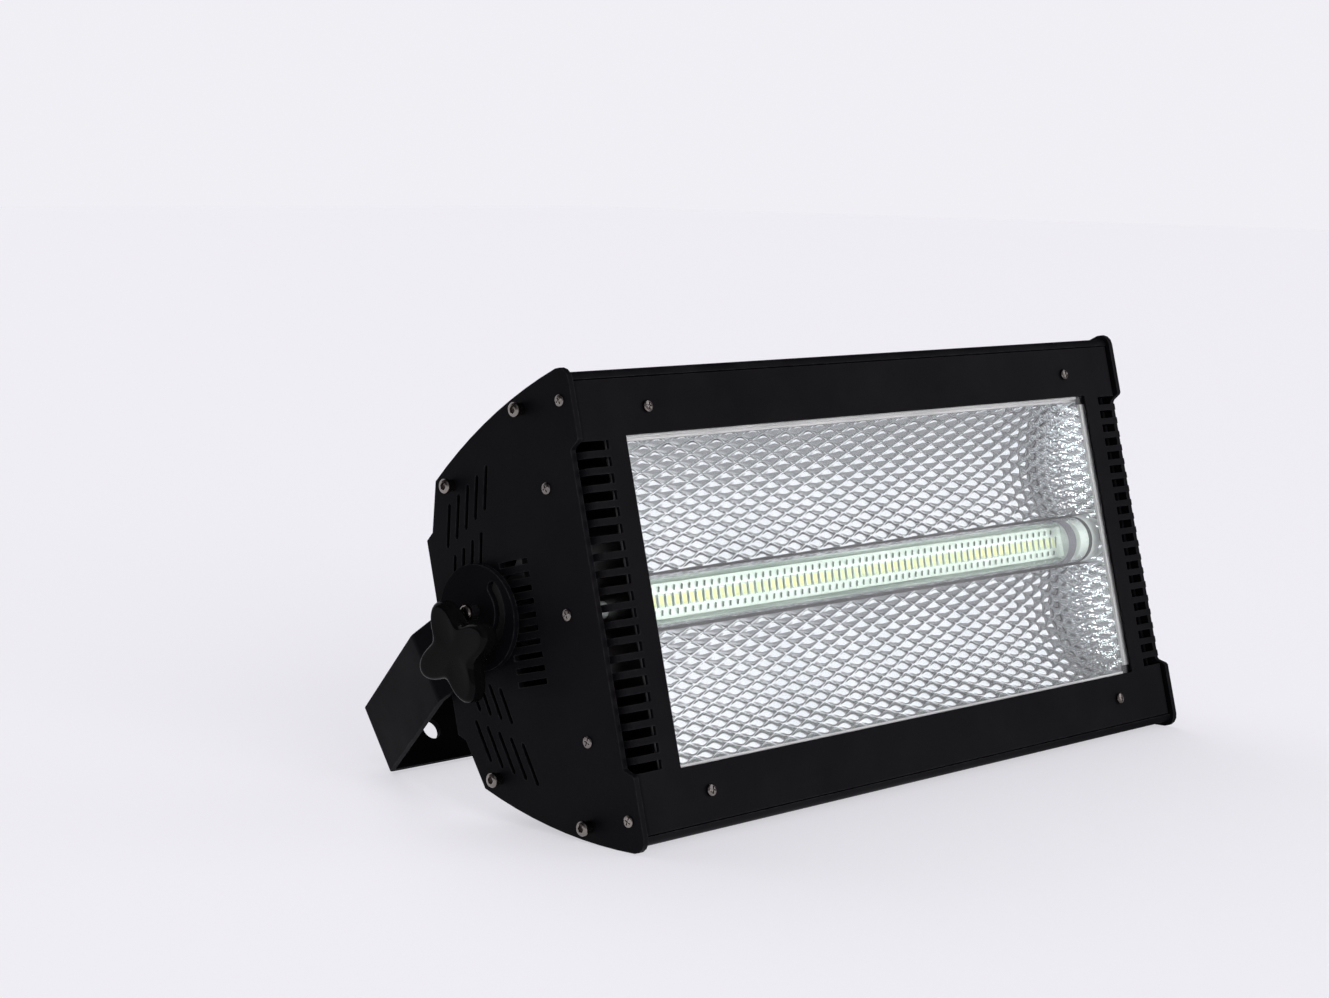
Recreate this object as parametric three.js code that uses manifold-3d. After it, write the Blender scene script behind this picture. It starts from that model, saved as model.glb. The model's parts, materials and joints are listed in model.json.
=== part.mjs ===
import * as THREE from 'three';
import { mergeVertices } from 'three/addons/utils/BufferGeometryUtils.js';
import Module from 'manifold-3d';

const wasm = await Module();
wasm.setup();

// A stage strobe light: a black sheet-metal head with a wide glass window, a faceted reflector and
// a long lamp tube, held by a U-shaped yoke that is clamped with two star knobs.
// Lengths are in millimetres. Head frame: X to the viewer's right, Y to the rear, Z up the front
// face, with zero at the middle of the front face. The head leans back on its lower front corners
// and on the yoke's bar, as it stands on a table.

// Fits shared by all pieces
const gap = 0.3;
const cutOverrun = 1;
const roundSides = 24;
const smallSides = 12;
const hexSides = 6;

// Turns, in degrees
const quarterTurn = 90;
const halfTurn = 180;
const fullTurn = 360;

// Head as a whole: its width over the end plates, and half the height of its front
const headWidth = 425;
const bezelHalfHeight = 102.3;
const headTiltDeg = 14.15;

// End plates: side profile
const plateSheet = 3;
const plateFrontY = -1.5;
const plateCornerRadius = 6;
const plateCornerEndDeg = 80;
const platePeakRise = 6.9;
const platePeakZ = bezelHalfHeight + platePeakRise;
const plateArcRise = 4.45;
const rearY = 108;
const rearHalfHeight = 46;
const rearCornerInset = 12.5;
const rearCornerY = rearY - rearCornerInset;
const rearCornerZ = 72.4;
const flankEndInset = 4.7;
const flankEndY = rearY - flankEndInset;
const flankEndZ = 49.2;
const recessY = 4.2;
const recessDrop = 30.8;
const recessHalfHeight = bezelHalfHeight - recessDrop;
const recessEase = 4.5;

// Pivot of the yoke on the end plates
const pivotInset = 31;
const pivotY = rearY - pivotInset;
const pivotZ = 9;

// End plates: slanted vents, each row given by its rearmost slot, the step to the next and its run
const ventWidth = 2.1;
const outerVentCount = 5;
const outerVentInset = 6.75;
const outerVentStartY = rearCornerY - outerVentInset;
const outerVentDrop = 12.4;
const outerVentStartZ = rearCornerZ - outerVentDrop;
const outerVentStepY = -7.19;
const outerVentStepZ = 3.38;
const outerVentRunY = 5.6;
const outerVentRunZ = -18.8;
const innerVentCount = 4;
const innerVentInset = 5;
const innerVentStartY = rearCornerY - innerVentInset;
const innerVentDrop = 24;
const innerVentStartZ = outerVentStartZ - innerVentDrop;
const innerVentStepY = -6.67;
const innerVentStepZ = 2.67;
const innerVentRunY = 4.2;
const innerVentRunZ = -15.8;

// End plates: comb of level slots beside the yoke's disc
const combCount = 10;
const combPitch = 6.14;
const combSlotHeight = 2.6;
const combSlotLength = 19;
const combInset = 15;
const combRearY = pivotY - combInset;
const combFrontY = combRearY - combSlotLength;

// Covers and rear panel
const coverSheet = 1.5;
const coverInset = 2.2;
const coverFlangeDepth = 12;
const creaseGap = 0.6;
const rearSeam = 1.5;

// Front bezel
const bezelHalfWidth = headWidth / 2 - plateSheet - gap;
const bezelSheet = 1.6;
const bezelFoldRadius = 3;
const bezelDepth = 15;
const windowSideFrame = 32.5;
const windowBand = 26.3;
const windowWidth = headWidth - 2 * windowSideFrame;
const windowHeight = 2 * (bezelHalfHeight - windowBand);
const toothSlotCount = 20;
const toothRowOverrun = 0.6;
const toothSlotPitch = (windowHeight + toothRowOverrun) / toothSlotCount;
const toothSlotHeight = 4.2;
const toothSlotReach = 17.2;
const toothSlotInnerX = bezelHalfWidth - toothSlotReach;
const toothSlotDepth = 9;

// Screws: bezel, end plates and yoke
const bezelScrewInset = 16.5;
const bezelScrewX = windowWidth / 2 - bezelScrewInset;
const bezelScrewDrop = 13.8;
const bezelScrewZ = bezelHalfHeight - bezelScrewDrop;
const bezelScrewHeadDiameter = 5.8;
const bezelScrewHeadHeight = 1.5;
const bezelScrewShankDiameter = 3;
const bezelScrewLength = 10;
const crossRecessWidth = 0.8;
const crossRecessLength = 3.2;
const crossRecessDepth = 0.8;
const capScrewFrontY = 30.8;
const capScrewFrontDrop = 14;
const capScrewRearInset = 10.9;
const capScrewRearDrop = 3.7;
const capScrewPlaces = [
  { y: capScrewFrontY, z: platePeakZ - capScrewFrontDrop },
  { y: rearCornerY - capScrewRearInset, z: rearCornerZ - capScrewRearDrop },
];
const capHeadDiameter = 7;
const capHeadHeight = 2.3;
const capSpacerDiameter = 5.8;
const capSpacerHeight = 3.4;
const capShankDiameter = 4;
const capShankLength = 9;
const capSocketDiameter = 3.4;
const capSocketDepth = 1.5;

// Window glass and its seal
const glassThickness = 3;
const glassOverlap = 4;
const sealThickness = 1.5;
const sealWidth = 5;

// Reflector: a level ledge inside the window, two curved troughs, and a channel for the tube
const reflectorSheet = 0.8;
const reflectorSetback = 25.8;
const reflectorHalfLength = headWidth / 2 - reflectorSetback;
const reflectorFlangeDrop = 5.3;
const reflectorFlangeHalfHeight = bezelHalfHeight - reflectorFlangeDrop;
const reflectorMouthMargin = 0.5;
const reflectorMouthHalfHeight = windowHeight / 2 + reflectorMouthMargin;
const troughDeepestY = 32;
const troughDeepestShare = 0.47;
const troughEndSlope = 0.227;
const troughSteps = 5;
const reflectorDepth = 39;
const reflectorEndSheet = 1.2;
const reflectorEndShoulder = 37;

// Lamp
const tubeDiameter = 24.8;
const tubeWall = 1.2;
const tubeAxisY = 25;
const tubeSetback = 35;
const tubeHalfLength = headWidth / 2 - tubeSetback;
const holderCollarDiameter = 25.4;
const holderPlugLength = 7;
const holderStubDiameter = 8;
const holderStubLength = 5;
const lampBoardWidth = 17;
const lampBoardThickness = 1.6;
const lampBoardSetback = 2;
const lampBoardSeat = 4;
const ledCount = 62;
const ledRowMargin = 14.13;
const ledPitch = (2 * (tubeHalfLength - ledRowMargin)) / ledCount;
const ledWidth = 3;
const ledHeight = 5.7;
const ledThickness = 0.8;
const ledCarrierWidth = 7.4;
const ledCarrierThickness = 0.5;

// Heat sink behind the reflector
const sinkMargin = 36.7;
const sinkLength = 2 * (reflectorHalfLength - sinkMargin);
const sinkHeight = 66;
const sinkBase = 4;
const sinkFinDepthShare = 0.22;
const sinkFinCount = 12;
const sinkFinThickness = 1.6;

// Power supply and control board, both carried by the rear panel
const supplyHeight = 72;
const supplyDepthShare = 0.56;
const supplySocketGap = 10.5;
const supplyBoardGap = 6;
const boardWidth = 96;
const boardHeight = 66;
const boardThickness = 1.6;
const boardFromInlet = 91;
const boardStandoff = 7;
const boardPostDiameter = 6;
const boardPostInset = 6;
const displayHeight = 16;
const displayWidth = 40;
const displayFromBoard = 12;
const displayCentreZ = 13;
const displayWindowThickness = 2;
const displayModuleMargin = 2;

// Menu buttons, in a row under the display
const buttonCount = 4;
const buttonPitch = 13;
const buttonDiameter = 7.2;
const buttonProud = 2.2;
const buttonTravel = 0.8;
const buttonFlangeDiameter = 9.6;
const buttonFlangeThickness = 1.2;
const buttonCentreZ = -14;

// Sockets on the rear panel
const inletInset = 44.2;
const inletCentreZ = 18;
const inletFlangeWidth = 50;
const inletFlangeHeight = 28;
const inletFlangeThickness = 2;
const inletBodyWidth = 32;
const inletBodyHeight = 24;
const inletBodyDepth = 20;
const inletCavityWidth = 26;
const inletCavityHeight = 18;
const inletCavityDepth = 16;
const inletPinWidth = 2;
const inletPinHeight = 4;
const inletPinLength = 9;
const inletPinSpacing = 7;
const inletEarthDrop = 2;
const fuseCentreZ = -22;
const fuseCapDiameter = 13;
const fuseCapHeight = 5;
const fuseBodyDiameter = 10;
const fuseBodyDepth = 24;
const fuseSlotWidth = 1.6;
const fuseSlotDepth = 1.4;
const socketInset = 34.2;
const socketSpacing = 33;
const socketCentreZ = 0;
const socketFlangeWidth = 26;
const socketFlangeHeight = 31;
const socketFlangeThickness = 2;
const socketBodyDiameter = 23;
const socketBodyDepth = 20;
const socketCavityDiameter = 18.6;
const socketCavityDepth = 15;
const socketPinCount = 3;
const socketPinCircle = 7;
const socketPinDiameter = 2.4;
const socketPinLength = 8;

// Fans on the end plates' inner faces, behind the upper vents
const fanSize = 40;
const fanThickness = 11;
const fanBoreDiameter = 37.6;
const fanInset = 25.5;
const fanCentreY = rearCornerY - fanInset;
const fanDrop = 34.4;
const fanCentreZ = rearCornerZ - fanDrop;
const fanHubDiameter = 15;
const fanTipDiameter = 36;
const fanBladeCount = 7;
const fanBladeThickness = 0.9;
const fanBladePitchDeg = 35;
const fanBladeChord = 7;
const fanSpiderThickness = 1.8;
const fanStrutWidth = 2.4;
const fanSpindleDiameter = 3;

// Yoke: a strip bent to a U, with a disc at each end. It is drawn along its arm, from the pivot:
// "out" runs from the pivot towards the bar, "across" is the strip's width.
const yokeSheet = 3;
const yokeStripWidth = 35;
const yokeStripOffset = -7.3;
const yokeFoldOut = 44.9;
const yokeBarOut = 138.6;
const yokeTaper = 38.2;
const yokeBendRadius = 5;
const yokeDiscRadius = 25;
const yokeDiscOut = 0.3;
const yokeDiscAcross = -3.1;
const barHoleDiameter = 10.7;
const barHoleInset = 35;
const barCentreHoleDiameter = 13;
const frictionWasherThickness = 2.4;
const frictionWasherDiameter = 42;

// Pivot and clamp
const studRadius = 17;
const studAngleDeg = 278;
const slotFrontDeg = 148;
const slotRearDeg = 291;
const pivotSleeveDiameter = 6.4;
const pivotSleeveLength = 9.7;
const pivotHeadDiameter = 7.4;
const pivotHeadHeight = 2.2;
const pivotShankDiameter = 4;
const pivotInnerLength = 12;
const pivotSocketDiameter = 3.4;
const pivotSocketDepth = 1.4;
const studDiameter = 6;
const studHeadDiameter = 12;
const studHeadThickness = 4;
const clampWasherDiameter = 16;
const clampWasherThickness = 1.5;

// Star knobs
const knobTipRadius = 24.6;
const knobValleyRadius = 14.2;
const knobLobes = 4;
const knobLobePower = 1.15;
const knobLobeTurnDeg = 76;
const knobStarThickness = 9.5;
const knobStarBevel = 2.6;
const knobHubDiameter = 19;
const knobHubLength = 4.9;
const knobFrontWall = 4;

// Places that follow from the sizes above
const plateOuterX = headWidth / 2;
const plateInnerX = plateOuterX - plateSheet;
const coverHalfWidth = plateInnerX - gap;
const yokeInnerX = plateOuterX + 2 * gap + frictionWasherThickness;
const yokeOuterX = yokeInnerX + yokeSheet;
const yokeBarHalfLength = yokeOuterX - yokeTaper;
const barHoleX = yokeBarHalfLength - barHoleInset;
const rearInnerY = rearY - coverInset - coverSheet;
const rearOuterY = rearY - coverInset;
const glassFrontY = bezelSheet + gap;
const sealFrontY = glassFrontY + glassThickness + gap;
const flangeFrontY = sealFrontY + sealThickness + gap;
const reflectorBackY = reflectorDepth + reflectorSheet;
const channelHalfHeight = holderCollarDiameter / 2 + reflectorSheet;
const innerRoom = rearInnerY - reflectorBackY;
const sinkFinDepth = sinkFinDepthShare * innerRoom;
const supplyDepth = supplyDepthShare * innerRoom;
const inletCentreX = coverHalfWidth - inletInset;
const fuseCentreX = inletCentreX;
const boardCentreX = inletCentreX - boardFromInlet;
const displayCentreX = boardCentreX - displayFromBoard;
const socketCentreXs = [socketInset, socketInset + socketSpacing].map((inset) => inset - coverHalfWidth);
const supplyEnds = [socketCentreXs[1] + socketBodyDiameter / 2 + supplySocketGap,
  boardCentreX - boardWidth / 2 - supplyBoardGap];
const endWallInnerX = reflectorHalfLength + gap;
const collarInnerX = tubeHalfLength + gap;

const degrees = THREE.MathUtils.degToRad;
const studY = pivotY + studRadius * Math.cos(degrees(studAngleDeg));
const studZ = pivotZ + studRadius * Math.sin(degrees(studAngleDeg));
const sides = { left: -1, right: 1 };

// Basic solids

function solid(geometry) {
  const bare = geometry.clone();
  for (const name of Object.keys(bare.attributes)) if (name !== 'position') bare.deleteAttribute(name);
  const merged = mergeVertices(bare);
  const points = merged.attributes.position.array;
  const corners = merged.index.array;
  const kept = [];
  let volume = 0;
  const a = new THREE.Vector3();
  const b = new THREE.Vector3();
  const c = new THREE.Vector3();
  for (let i = 0; i < corners.length; i += 3) {
    const [p, q, r] = [corners[i], corners[i + 1], corners[i + 2]];
    if (p === q || q === r || r === p) continue;
    kept.push([p, q, r]);
    a.fromArray(points, 3 * p);
    b.fromArray(points, 3 * q);
    c.fromArray(points, 3 * r);
    volume += a.dot(b.cross(c));
  }
  const outward = volume > 0 ? kept : kept.map(([p, q, r]) => [p, r, q]);
  return new wasm.Manifold(new wasm.Mesh({
    numProp: 3,
    vertProperties: new Float32Array(points),
    triVerts: new Uint32Array(outward.flat()),
  }));
}

function geometryOf(manifold) {
  const mesh = manifold.getMesh();
  const geometry = new THREE.BufferGeometry();
  geometry.setAttribute('position', new THREE.BufferAttribute(new Float32Array(mesh.vertProperties), 3));
  geometry.setIndex(new THREE.BufferAttribute(new Uint32Array(mesh.triVerts), 1));
  geometry.computeVertexNormals();
  return geometry;
}

const join = (...solids) => solids.flat().reduce((whole, piece) => whole.add(piece));
const cut = (whole, ...solids) => solids.flat().reduce((left, piece) => left.subtract(piece), whole);
const span = (middle, size) => [middle - size / 2, middle + size / 2];
const outward = (side, near, far) => [side * near, side * far];

function block([x0, x1], [y0, y1], [z0, z1]) {
  const geometry = new THREE.BoxGeometry(Math.abs(x1 - x0), Math.abs(y1 - y0), Math.abs(z1 - z0));
  return solid(geometry.translate((x0 + x1) / 2, (y0 + y1) / 2, (z0 + z1) / 2));
}

function rodX(diameter, [x0, x1], y, z, count = roundSides) {
  const geometry = new THREE.CylinderGeometry(diameter / 2, diameter / 2, Math.abs(x1 - x0), count);
  return solid(geometry.rotateZ(Math.PI / 2).translate((x0 + x1) / 2, y, z));
}

function rodY(diameter, x, [y0, y1], z, count = roundSides) {
  const geometry = new THREE.CylinderGeometry(diameter / 2, diameter / 2, Math.abs(y1 - y0), count);
  return solid(geometry.translate(x, (y0 + y1) / 2, z));
}

// Outlines are lists of [first, second] and are extruded along the third axis

function extrude(outline, depth) {
  const shape = new THREE.Shape(outline.map(([u, v]) => new THREE.Vector2(u, v)));
  return new THREE.ExtrudeGeometry(shape, { depth, bevelEnabled: false, steps: 1 });
}

function extrudeX(outline, [x0, x1]) {
  const axes = new THREE.Matrix4().makeBasis(
    new THREE.Vector3(0, 1, 0), new THREE.Vector3(0, 0, 1), new THREE.Vector3(1, 0, 0));
  const geometry = extrude(outline, Math.abs(x1 - x0)).applyMatrix4(axes);
  return solid(geometry.translate(Math.min(x0, x1), 0, 0));
}

function extrudeZ(outline, [z0, z1]) {
  return solid(extrude(outline, Math.abs(z1 - z0)).translate(0, 0, Math.min(z0, z1)));
}

function arc(centreU, centreV, radius, fromDeg, toDeg, steps) {
  return Array.from({ length: steps + 1 }, (_, i) => {
    const angle = degrees(fromDeg + ((toDeg - fromDeg) * i) / steps);
    return [centreU + radius * Math.cos(angle), centreV + radius * Math.sin(angle)];
  });
}

// Points of the circular arc from one point to another that rises above its chord
function risingArc([u0, v0], [u1, v1], rise, steps) {
  const chord = Math.hypot(u1 - u0, v1 - v0);
  const radius = (chord * chord / 4 + rise * rise) / (2 * rise);
  const half = Math.asin(chord / 2 / radius);
  const [alongU, alongV] = [(u1 - u0) / chord, (v1 - v0) / chord];
  return Array.from({ length: steps + 1 }, (_, i) => {
    const angle = half * ((2 * i) / steps - 1);
    const along = chord / 2 + radius * Math.sin(angle);
    const above = radius * Math.cos(angle) - (radius - rise);
    return [u0 + along * alongU - above * alongV, v0 + along * alongV + above * alongU];
  });
}

// The path moved sideways, to the right of its direction, with mitred corners
function offsetPath(path, distance) {
  return path.map(([u, v], i) => {
    const before = path[Math.max(i - 1, 0)];
    const after = path[Math.min(i + 1, path.length - 1)];
    const normals = [[before, [u, v]], [[u, v], after]]
      .map(([[pu, pv], [qu, qv]]) => [qv - pv, pu - qu])
      .filter(([nu, nv]) => nu !== 0 || nv !== 0)
      .map(([nu, nv]) => [nu / Math.hypot(nu, nv), nv / Math.hypot(nu, nv)]);
    const first = normals[0];
    const last = normals[normals.length - 1];
    const share = distance / (1 + first[0] * last[0] + first[1] * last[1]);
    return [u + share * (first[0] + last[0]), v + share * (first[1] + last[1])];
  });
}

const sheetOutline = (path, thickness) => [...path, ...offsetPath(path, thickness).reverse()];
const mirrored = (path) => path.map(([u, v]) => [u, -v]).reverse();

function capsule([u0, v0], [u1, v1], width, steps = 2) {
  const turn = THREE.MathUtils.radToDeg(Math.atan2(v1 - v0, u1 - u0));
  return [
    ...arc(u1, v1, width / 2, turn - quarterTurn, turn + quarterTurn, steps),
    ...arc(u0, v0, width / 2, turn + quarterTurn, turn + quarterTurn + halfTurn, steps),
  ];
}

// Head: the side profile that the end plates, covers and rear panel share, from front to rear

function upperProfile() {
  const cornerY = plateFrontY + plateCornerRadius;
  const cornerZ = platePeakZ - plateCornerRadius;
  const corner = arc(cornerY, cornerZ, plateCornerRadius, halfTurn, plateCornerEndDeg, 4);
  const crown = risingArc(corner[corner.length - 1], [rearCornerY, rearCornerZ], plateArcRise, 9);
  return [...corner, ...crown.slice(1), [flankEndY, flankEndZ], [rearY, rearHalfHeight]];
}

function shellPath() {
  const upper = upperProfile();
  return offsetPath([...upper, ...mirrored(upper)], coverInset);
}

const crownEnd = upperProfile().length - 3;

function endPlateOutline() {
  const ease = Array.from({ length: 5 }, (_, i) => {
    const share = i / 4;
    const blend = (1 - Math.cos(Math.PI * share)) / 2;
    return [recessY + (plateFrontY - recessY) * blend, recessHalfHeight + recessEase * share];
  });
  const upper = [...ease, ...upperProfile()];
  return [...upper, ...mirrored(upper)];
}

function ventRow(count, startY, startZ, stepY, stepZ, runY, runZ) {
  return Array.from({ length: count }, (_, i) => {
    const [y, z] = [startY + i * stepY, startZ + i * stepZ];
    return [[y, z], [y + runY, z + runZ]];
  });
}

function endPlate(side) {
  const through = outward(side, plateInnerX - cutOverrun, plateOuterX + cutOverrun);
  const vents = [
    ...ventRow(outerVentCount, outerVentStartY, outerVentStartZ, outerVentStepY, outerVentStepZ,
      outerVentRunY, outerVentRunZ),
    ...ventRow(innerVentCount, innerVentStartY, innerVentStartZ, innerVentStepY, innerVentStepZ,
      innerVentRunY, innerVentRunZ),
  ];
  const upperVents = vents.map(([from, to]) => extrudeX(capsule(from, to, ventWidth), through));
  const lowerVents = vents.map(([[y0, z0], [y1, z1]]) =>
    extrudeX(capsule([y0, -z0], [y1, -z1], ventWidth), through));
  const comb = Array.from({ length: combCount }, (_, i) => block(through, [combFrontY, combRearY],
    span((i - (combCount - 1) / 2) * combPitch, combSlotHeight)));
  const screwHoles = capScrewPlaces.flatMap(({ y, z }) => [z, -z].map((height) =>
    rodX(capShankDiameter + 2 * gap, through, y, height, smallSides)));
  const pivotHole = rodX(pivotShankDiameter + 2 * gap, through, pivotY, pivotZ, smallSides);
  const studHole = rodX(studDiameter + 2 * gap, through, studY, studZ, smallSides);
  return cut(extrudeX(endPlateOutline(), outward(side, plateInnerX, plateOuterX)),
    upperVents, lowerVents, comb, screwHoles, pivotHole, studHole);
}

// Covers: a curved sheet between the end plates, with a screw flange bent in at each end

function cover(upside) {
  const path = shellPath().slice(0, crownEnd + 1);
  path[0] = [path[0][0], bezelHalfHeight + creaseGap];
  const turned = (outline) => outline.map(([y, z]) => [y, upside * z]);
  const skin = extrudeX(turned(sheetOutline(path, coverSheet)), [-coverHalfWidth, coverHalfWidth]);
  const besideBezel = block([-headWidth, headWidth], [-bezelDepth, bezelDepth + gap],
    [-headWidth, headWidth]);
  const flange = turned(sheetOutline(path.slice(2), coverFlangeDepth));
  const flanges = [-1, 1].map((side) =>
    cut(extrudeX(flange, outward(side, coverHalfWidth - coverSheet, coverHalfWidth)), besideBezel));
  const holes = capScrewPlaces.flatMap(({ y, z }) => [-1, 1].map((side) =>
    rodX(capShankDiameter + 2 * gap, outward(side, coverHalfWidth - coverSheet - cutOverrun,
      coverHalfWidth + cutOverrun), y, upside * z, smallSides)));
  return cut(join(skin, flanges), holes);
}

function rearPanel() {
  const upper = shellPath().slice(crownEnd, crownEnd + 3);
  const slope = (upper[1][0] - upper[0][0]) / (upper[0][1] - upper[1][1]);
  upper[0] = [upper[0][0] + rearSeam * slope, upper[0][1] - rearSeam];
  const path = [...upper, ...mirrored(upper)];
  const skin = extrudeX(sheetOutline(path, coverSheet), [-coverHalfWidth, coverHalfWidth]);
  const depth = [rearInnerY - cutOverrun, rearOuterY + cutOverrun];
  const buttonHoles = buttonXs().map((x) => rodY(buttonDiameter + 2 * gap, x, depth, buttonCentreZ));
  const sockets = socketCentreXs.map((x) => rodY(socketBodyDiameter + 2 * gap, x, depth, socketCentreZ));
  return cut(skin,
    block(span(inletCentreX, inletBodyWidth + 2 * gap), depth,
      span(inletCentreZ, inletBodyHeight + 2 * gap)),
    block(span(displayCentreX, displayWidth + 2 * gap), depth,
      span(displayCentreZ, displayHeight + 2 * gap)),
    rodY(fuseBodyDiameter + 2 * gap, fuseCentreX, depth, fuseCentreZ),
    buttonHoles, sockets);
}

// Front bezel: a folded pan with the window and a row of slots through each side fold

function frontBezel() {
  const half = [
    ...arc(bezelHalfWidth - bezelFoldRadius, bezelFoldRadius, bezelFoldRadius, -quarterTurn, 0, 2),
    [bezelHalfWidth, bezelDepth],
  ];
  const path = [...half.map(([x, y]) => [-x, y]).reverse(), ...half];
  const pan = extrudeZ(sheetOutline(path, -bezelSheet), [-bezelHalfHeight, bezelHalfHeight]);
  const lips = [-1, 1].map((way) => block(span(0, 2 * (bezelHalfWidth - bezelFoldRadius)),
    [bezelSheet / 2, bezelDepth], outward(way, bezelHalfHeight - bezelSheet, bezelHalfHeight)));
  const front = [-cutOverrun, bezelSheet + cutOverrun];
  const window = block(span(0, windowWidth), front, span(0, windowHeight));
  const slots = [-1, 1].flatMap((side) => Array.from({ length: toothSlotCount }, (_, i) =>
    block(outward(side, toothSlotInnerX, bezelHalfWidth + cutOverrun), [-cutOverrun, toothSlotDepth],
      span((i - (toothSlotCount - 1) / 2) * toothSlotPitch, toothSlotHeight))));
  const holes = bezelScrewPlaces().map(([x, z]) =>
    rodY(bezelScrewShankDiameter + 2 * gap, x, front, z, smallSides));
  return cut(join(pan, lips), window, slots, holes);
}

function bezelScrewPlaces() {
  return [[-1, 1], [1, 1], [-1, -1], [1, -1]].map(([u, v]) => [u * bezelScrewX, v * bezelScrewZ]);
}

function bezelScrew([x, z]) {
  const headFront = -gap - bezelScrewHeadHeight;
  const recess = [headFront - cutOverrun, headFront + crossRecessDepth];
  return cut(
    join(rodY(bezelScrewHeadDiameter, x, [headFront, -gap], z, smallSides),
      rodY(bezelScrewShankDiameter, x, [-gap - bezelScrewHeadHeight / 2, bezelScrewLength], z, smallSides)),
    block(span(x, crossRecessWidth), recess, span(z, crossRecessLength)),
    block(span(x, crossRecessLength), recess, span(z, crossRecessWidth)));
}

// Window glass, its seal and the reflector behind it

function windowGlass() {
  return block(span(0, windowWidth + 2 * glassOverlap), [glassFrontY, glassFrontY + glassThickness],
    span(0, windowHeight + 2 * glassOverlap));
}

function windowSeal() {
  const depth = [sealFrontY, sealFrontY + sealThickness];
  const [width, height] = [windowWidth + 2 * glassOverlap, windowHeight + 2 * glassOverlap];
  return cut(block(span(0, width), depth, span(0, height)),
    block(span(0, width - 2 * sealWidth), [depth[0] - cutOverrun, depth[1] + cutOverrun],
      span(0, height - 2 * sealWidth)));
}

// Down one trough, from the ledge to the channel: a parabola, deepest part-way
function troughLine() {
  const [top, bottom] = [reflectorMouthHalfHeight, channelHalfHeight];
  const deepestZ = troughDeepestShare * top;
  return Array.from({ length: troughSteps + 1 }, (_, i) => {
    const z = top + ((bottom - top) * i) / troughSteps;
    return [troughDeepestY - troughEndSlope * (z - deepestZ) ** 2 / (top - deepestZ), z];
  });
}

function reflectorPath() {
  const upper = [
    [flangeFrontY, reflectorFlangeHalfHeight],
    [flangeFrontY, reflectorMouthHalfHeight],
    ...troughLine(),
    [reflectorDepth, channelHalfHeight],
  ];
  return [...upper, ...mirrored(upper)];
}

function reflector() {
  const trough = extrudeX(sheetOutline(reflectorPath(), -reflectorSheet),
    [-reflectorHalfLength, reflectorHalfLength]);
  const depth = [flangeFrontY - cutOverrun, flangeFrontY + reflectorSheet + cutOverrun];
  return cut(trough, bezelScrewPlaces().map(([x, z]) =>
    rodY(bezelScrewShankDiameter + 2 * gap, x, depth, z, smallSides)));
}

function reflectorEnd(side) {
  const upper = [
    [flangeFrontY, reflectorFlangeHalfHeight],
    [flangeFrontY + bezelDepth, reflectorFlangeHalfHeight],
    [reflectorBackY, reflectorFlangeHalfHeight - reflectorEndShoulder],
  ];
  const outline = [...upper, ...mirrored(upper)];
  const thickness = outward(side, endWallInnerX, endWallInnerX + reflectorEndSheet);
  const hole = rodX(holderStubDiameter + 2 * gap,
    outward(side, endWallInnerX - cutOverrun, endWallInnerX + reflectorEndSheet + cutOverrun), tubeAxisY, 0);
  return cut(extrudeX(outline, thickness), hole);
}

// Lamp: a clear tube between two holders, with a board and a row of emitters inside it

function glassTube() {
  const ends = [-tubeHalfLength, tubeHalfLength];
  const bore = [-tubeHalfLength - cutOverrun, tubeHalfLength + cutOverrun];
  return cut(rodX(tubeDiameter, ends, tubeAxisY, 0), rodX(tubeDiameter - 2 * tubeWall, bore, tubeAxisY, 0));
}

function tubeHolder(side) {
  const plug = tubeDiameter - 2 * tubeWall - 2 * gap;
  const plugInnerX = tubeHalfLength - holderPlugLength;
  const board = lampBoardY();
  return cut(
    join(rodX(holderCollarDiameter, outward(side, collarInnerX, endWallInnerX - gap), tubeAxisY, 0),
      rodX(plug, outward(side, plugInnerX, collarInnerX + gap), tubeAxisY, 0),
      rodX(holderStubDiameter,
        outward(side, collarInnerX, endWallInnerX + reflectorEndSheet + holderStubLength), tubeAxisY, 0)),
    block(outward(side, plugInnerX - cutOverrun, plugInnerX + lampBoardSeat + gap),
      [board[0] - gap, board[1] + gap], span(0, lampBoardWidth + 2 * gap)));
}

const lampBoardY = () => [tubeAxisY + lampBoardSetback, tubeAxisY + lampBoardSetback + lampBoardThickness];

function lampBoard() {
  const halfLength = tubeHalfLength - holderPlugLength + lampBoardSeat;
  return block([-halfLength, halfLength], lampBoardY(), span(0, lampBoardWidth));
}

function ledRow() {
  const back = lampBoardY()[0] - gap;
  const carrierFront = back - ledCarrierThickness;
  const emitters = Array.from({ length: ledCount }, (_, i) =>
    block(span((i - (ledCount - 1) / 2) * ledPitch, ledWidth),
      [carrierFront - ledThickness, carrierFront + ledCarrierThickness / 2], span(0, ledHeight)));
  return join(block(span(0, ledCount * ledPitch), [carrierFront, back], span(0, ledCarrierWidth)), emitters);
}

// Heat sink, power supply and control board

function heatSink() {
  const baseY = [reflectorBackY + gap, reflectorBackY + gap + sinkBase];
  const fins = Array.from({ length: sinkFinCount }, (_, i) => {
    const z = -sinkHeight / 2 + sinkFinThickness / 2
      + (i * (sinkHeight - sinkFinThickness)) / (sinkFinCount - 1);
    return block(span(0, sinkLength), [baseY[0] + sinkBase / 2, baseY[1] + sinkFinDepth],
      span(z, sinkFinThickness));
  });
  return join(block(span(0, sinkLength), baseY, span(0, sinkHeight)), fins);
}

function powerSupply() {
  const back = rearInnerY - gap;
  return block(supplyEnds, [back - supplyDepth, back], span(0, supplyHeight));
}

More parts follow.
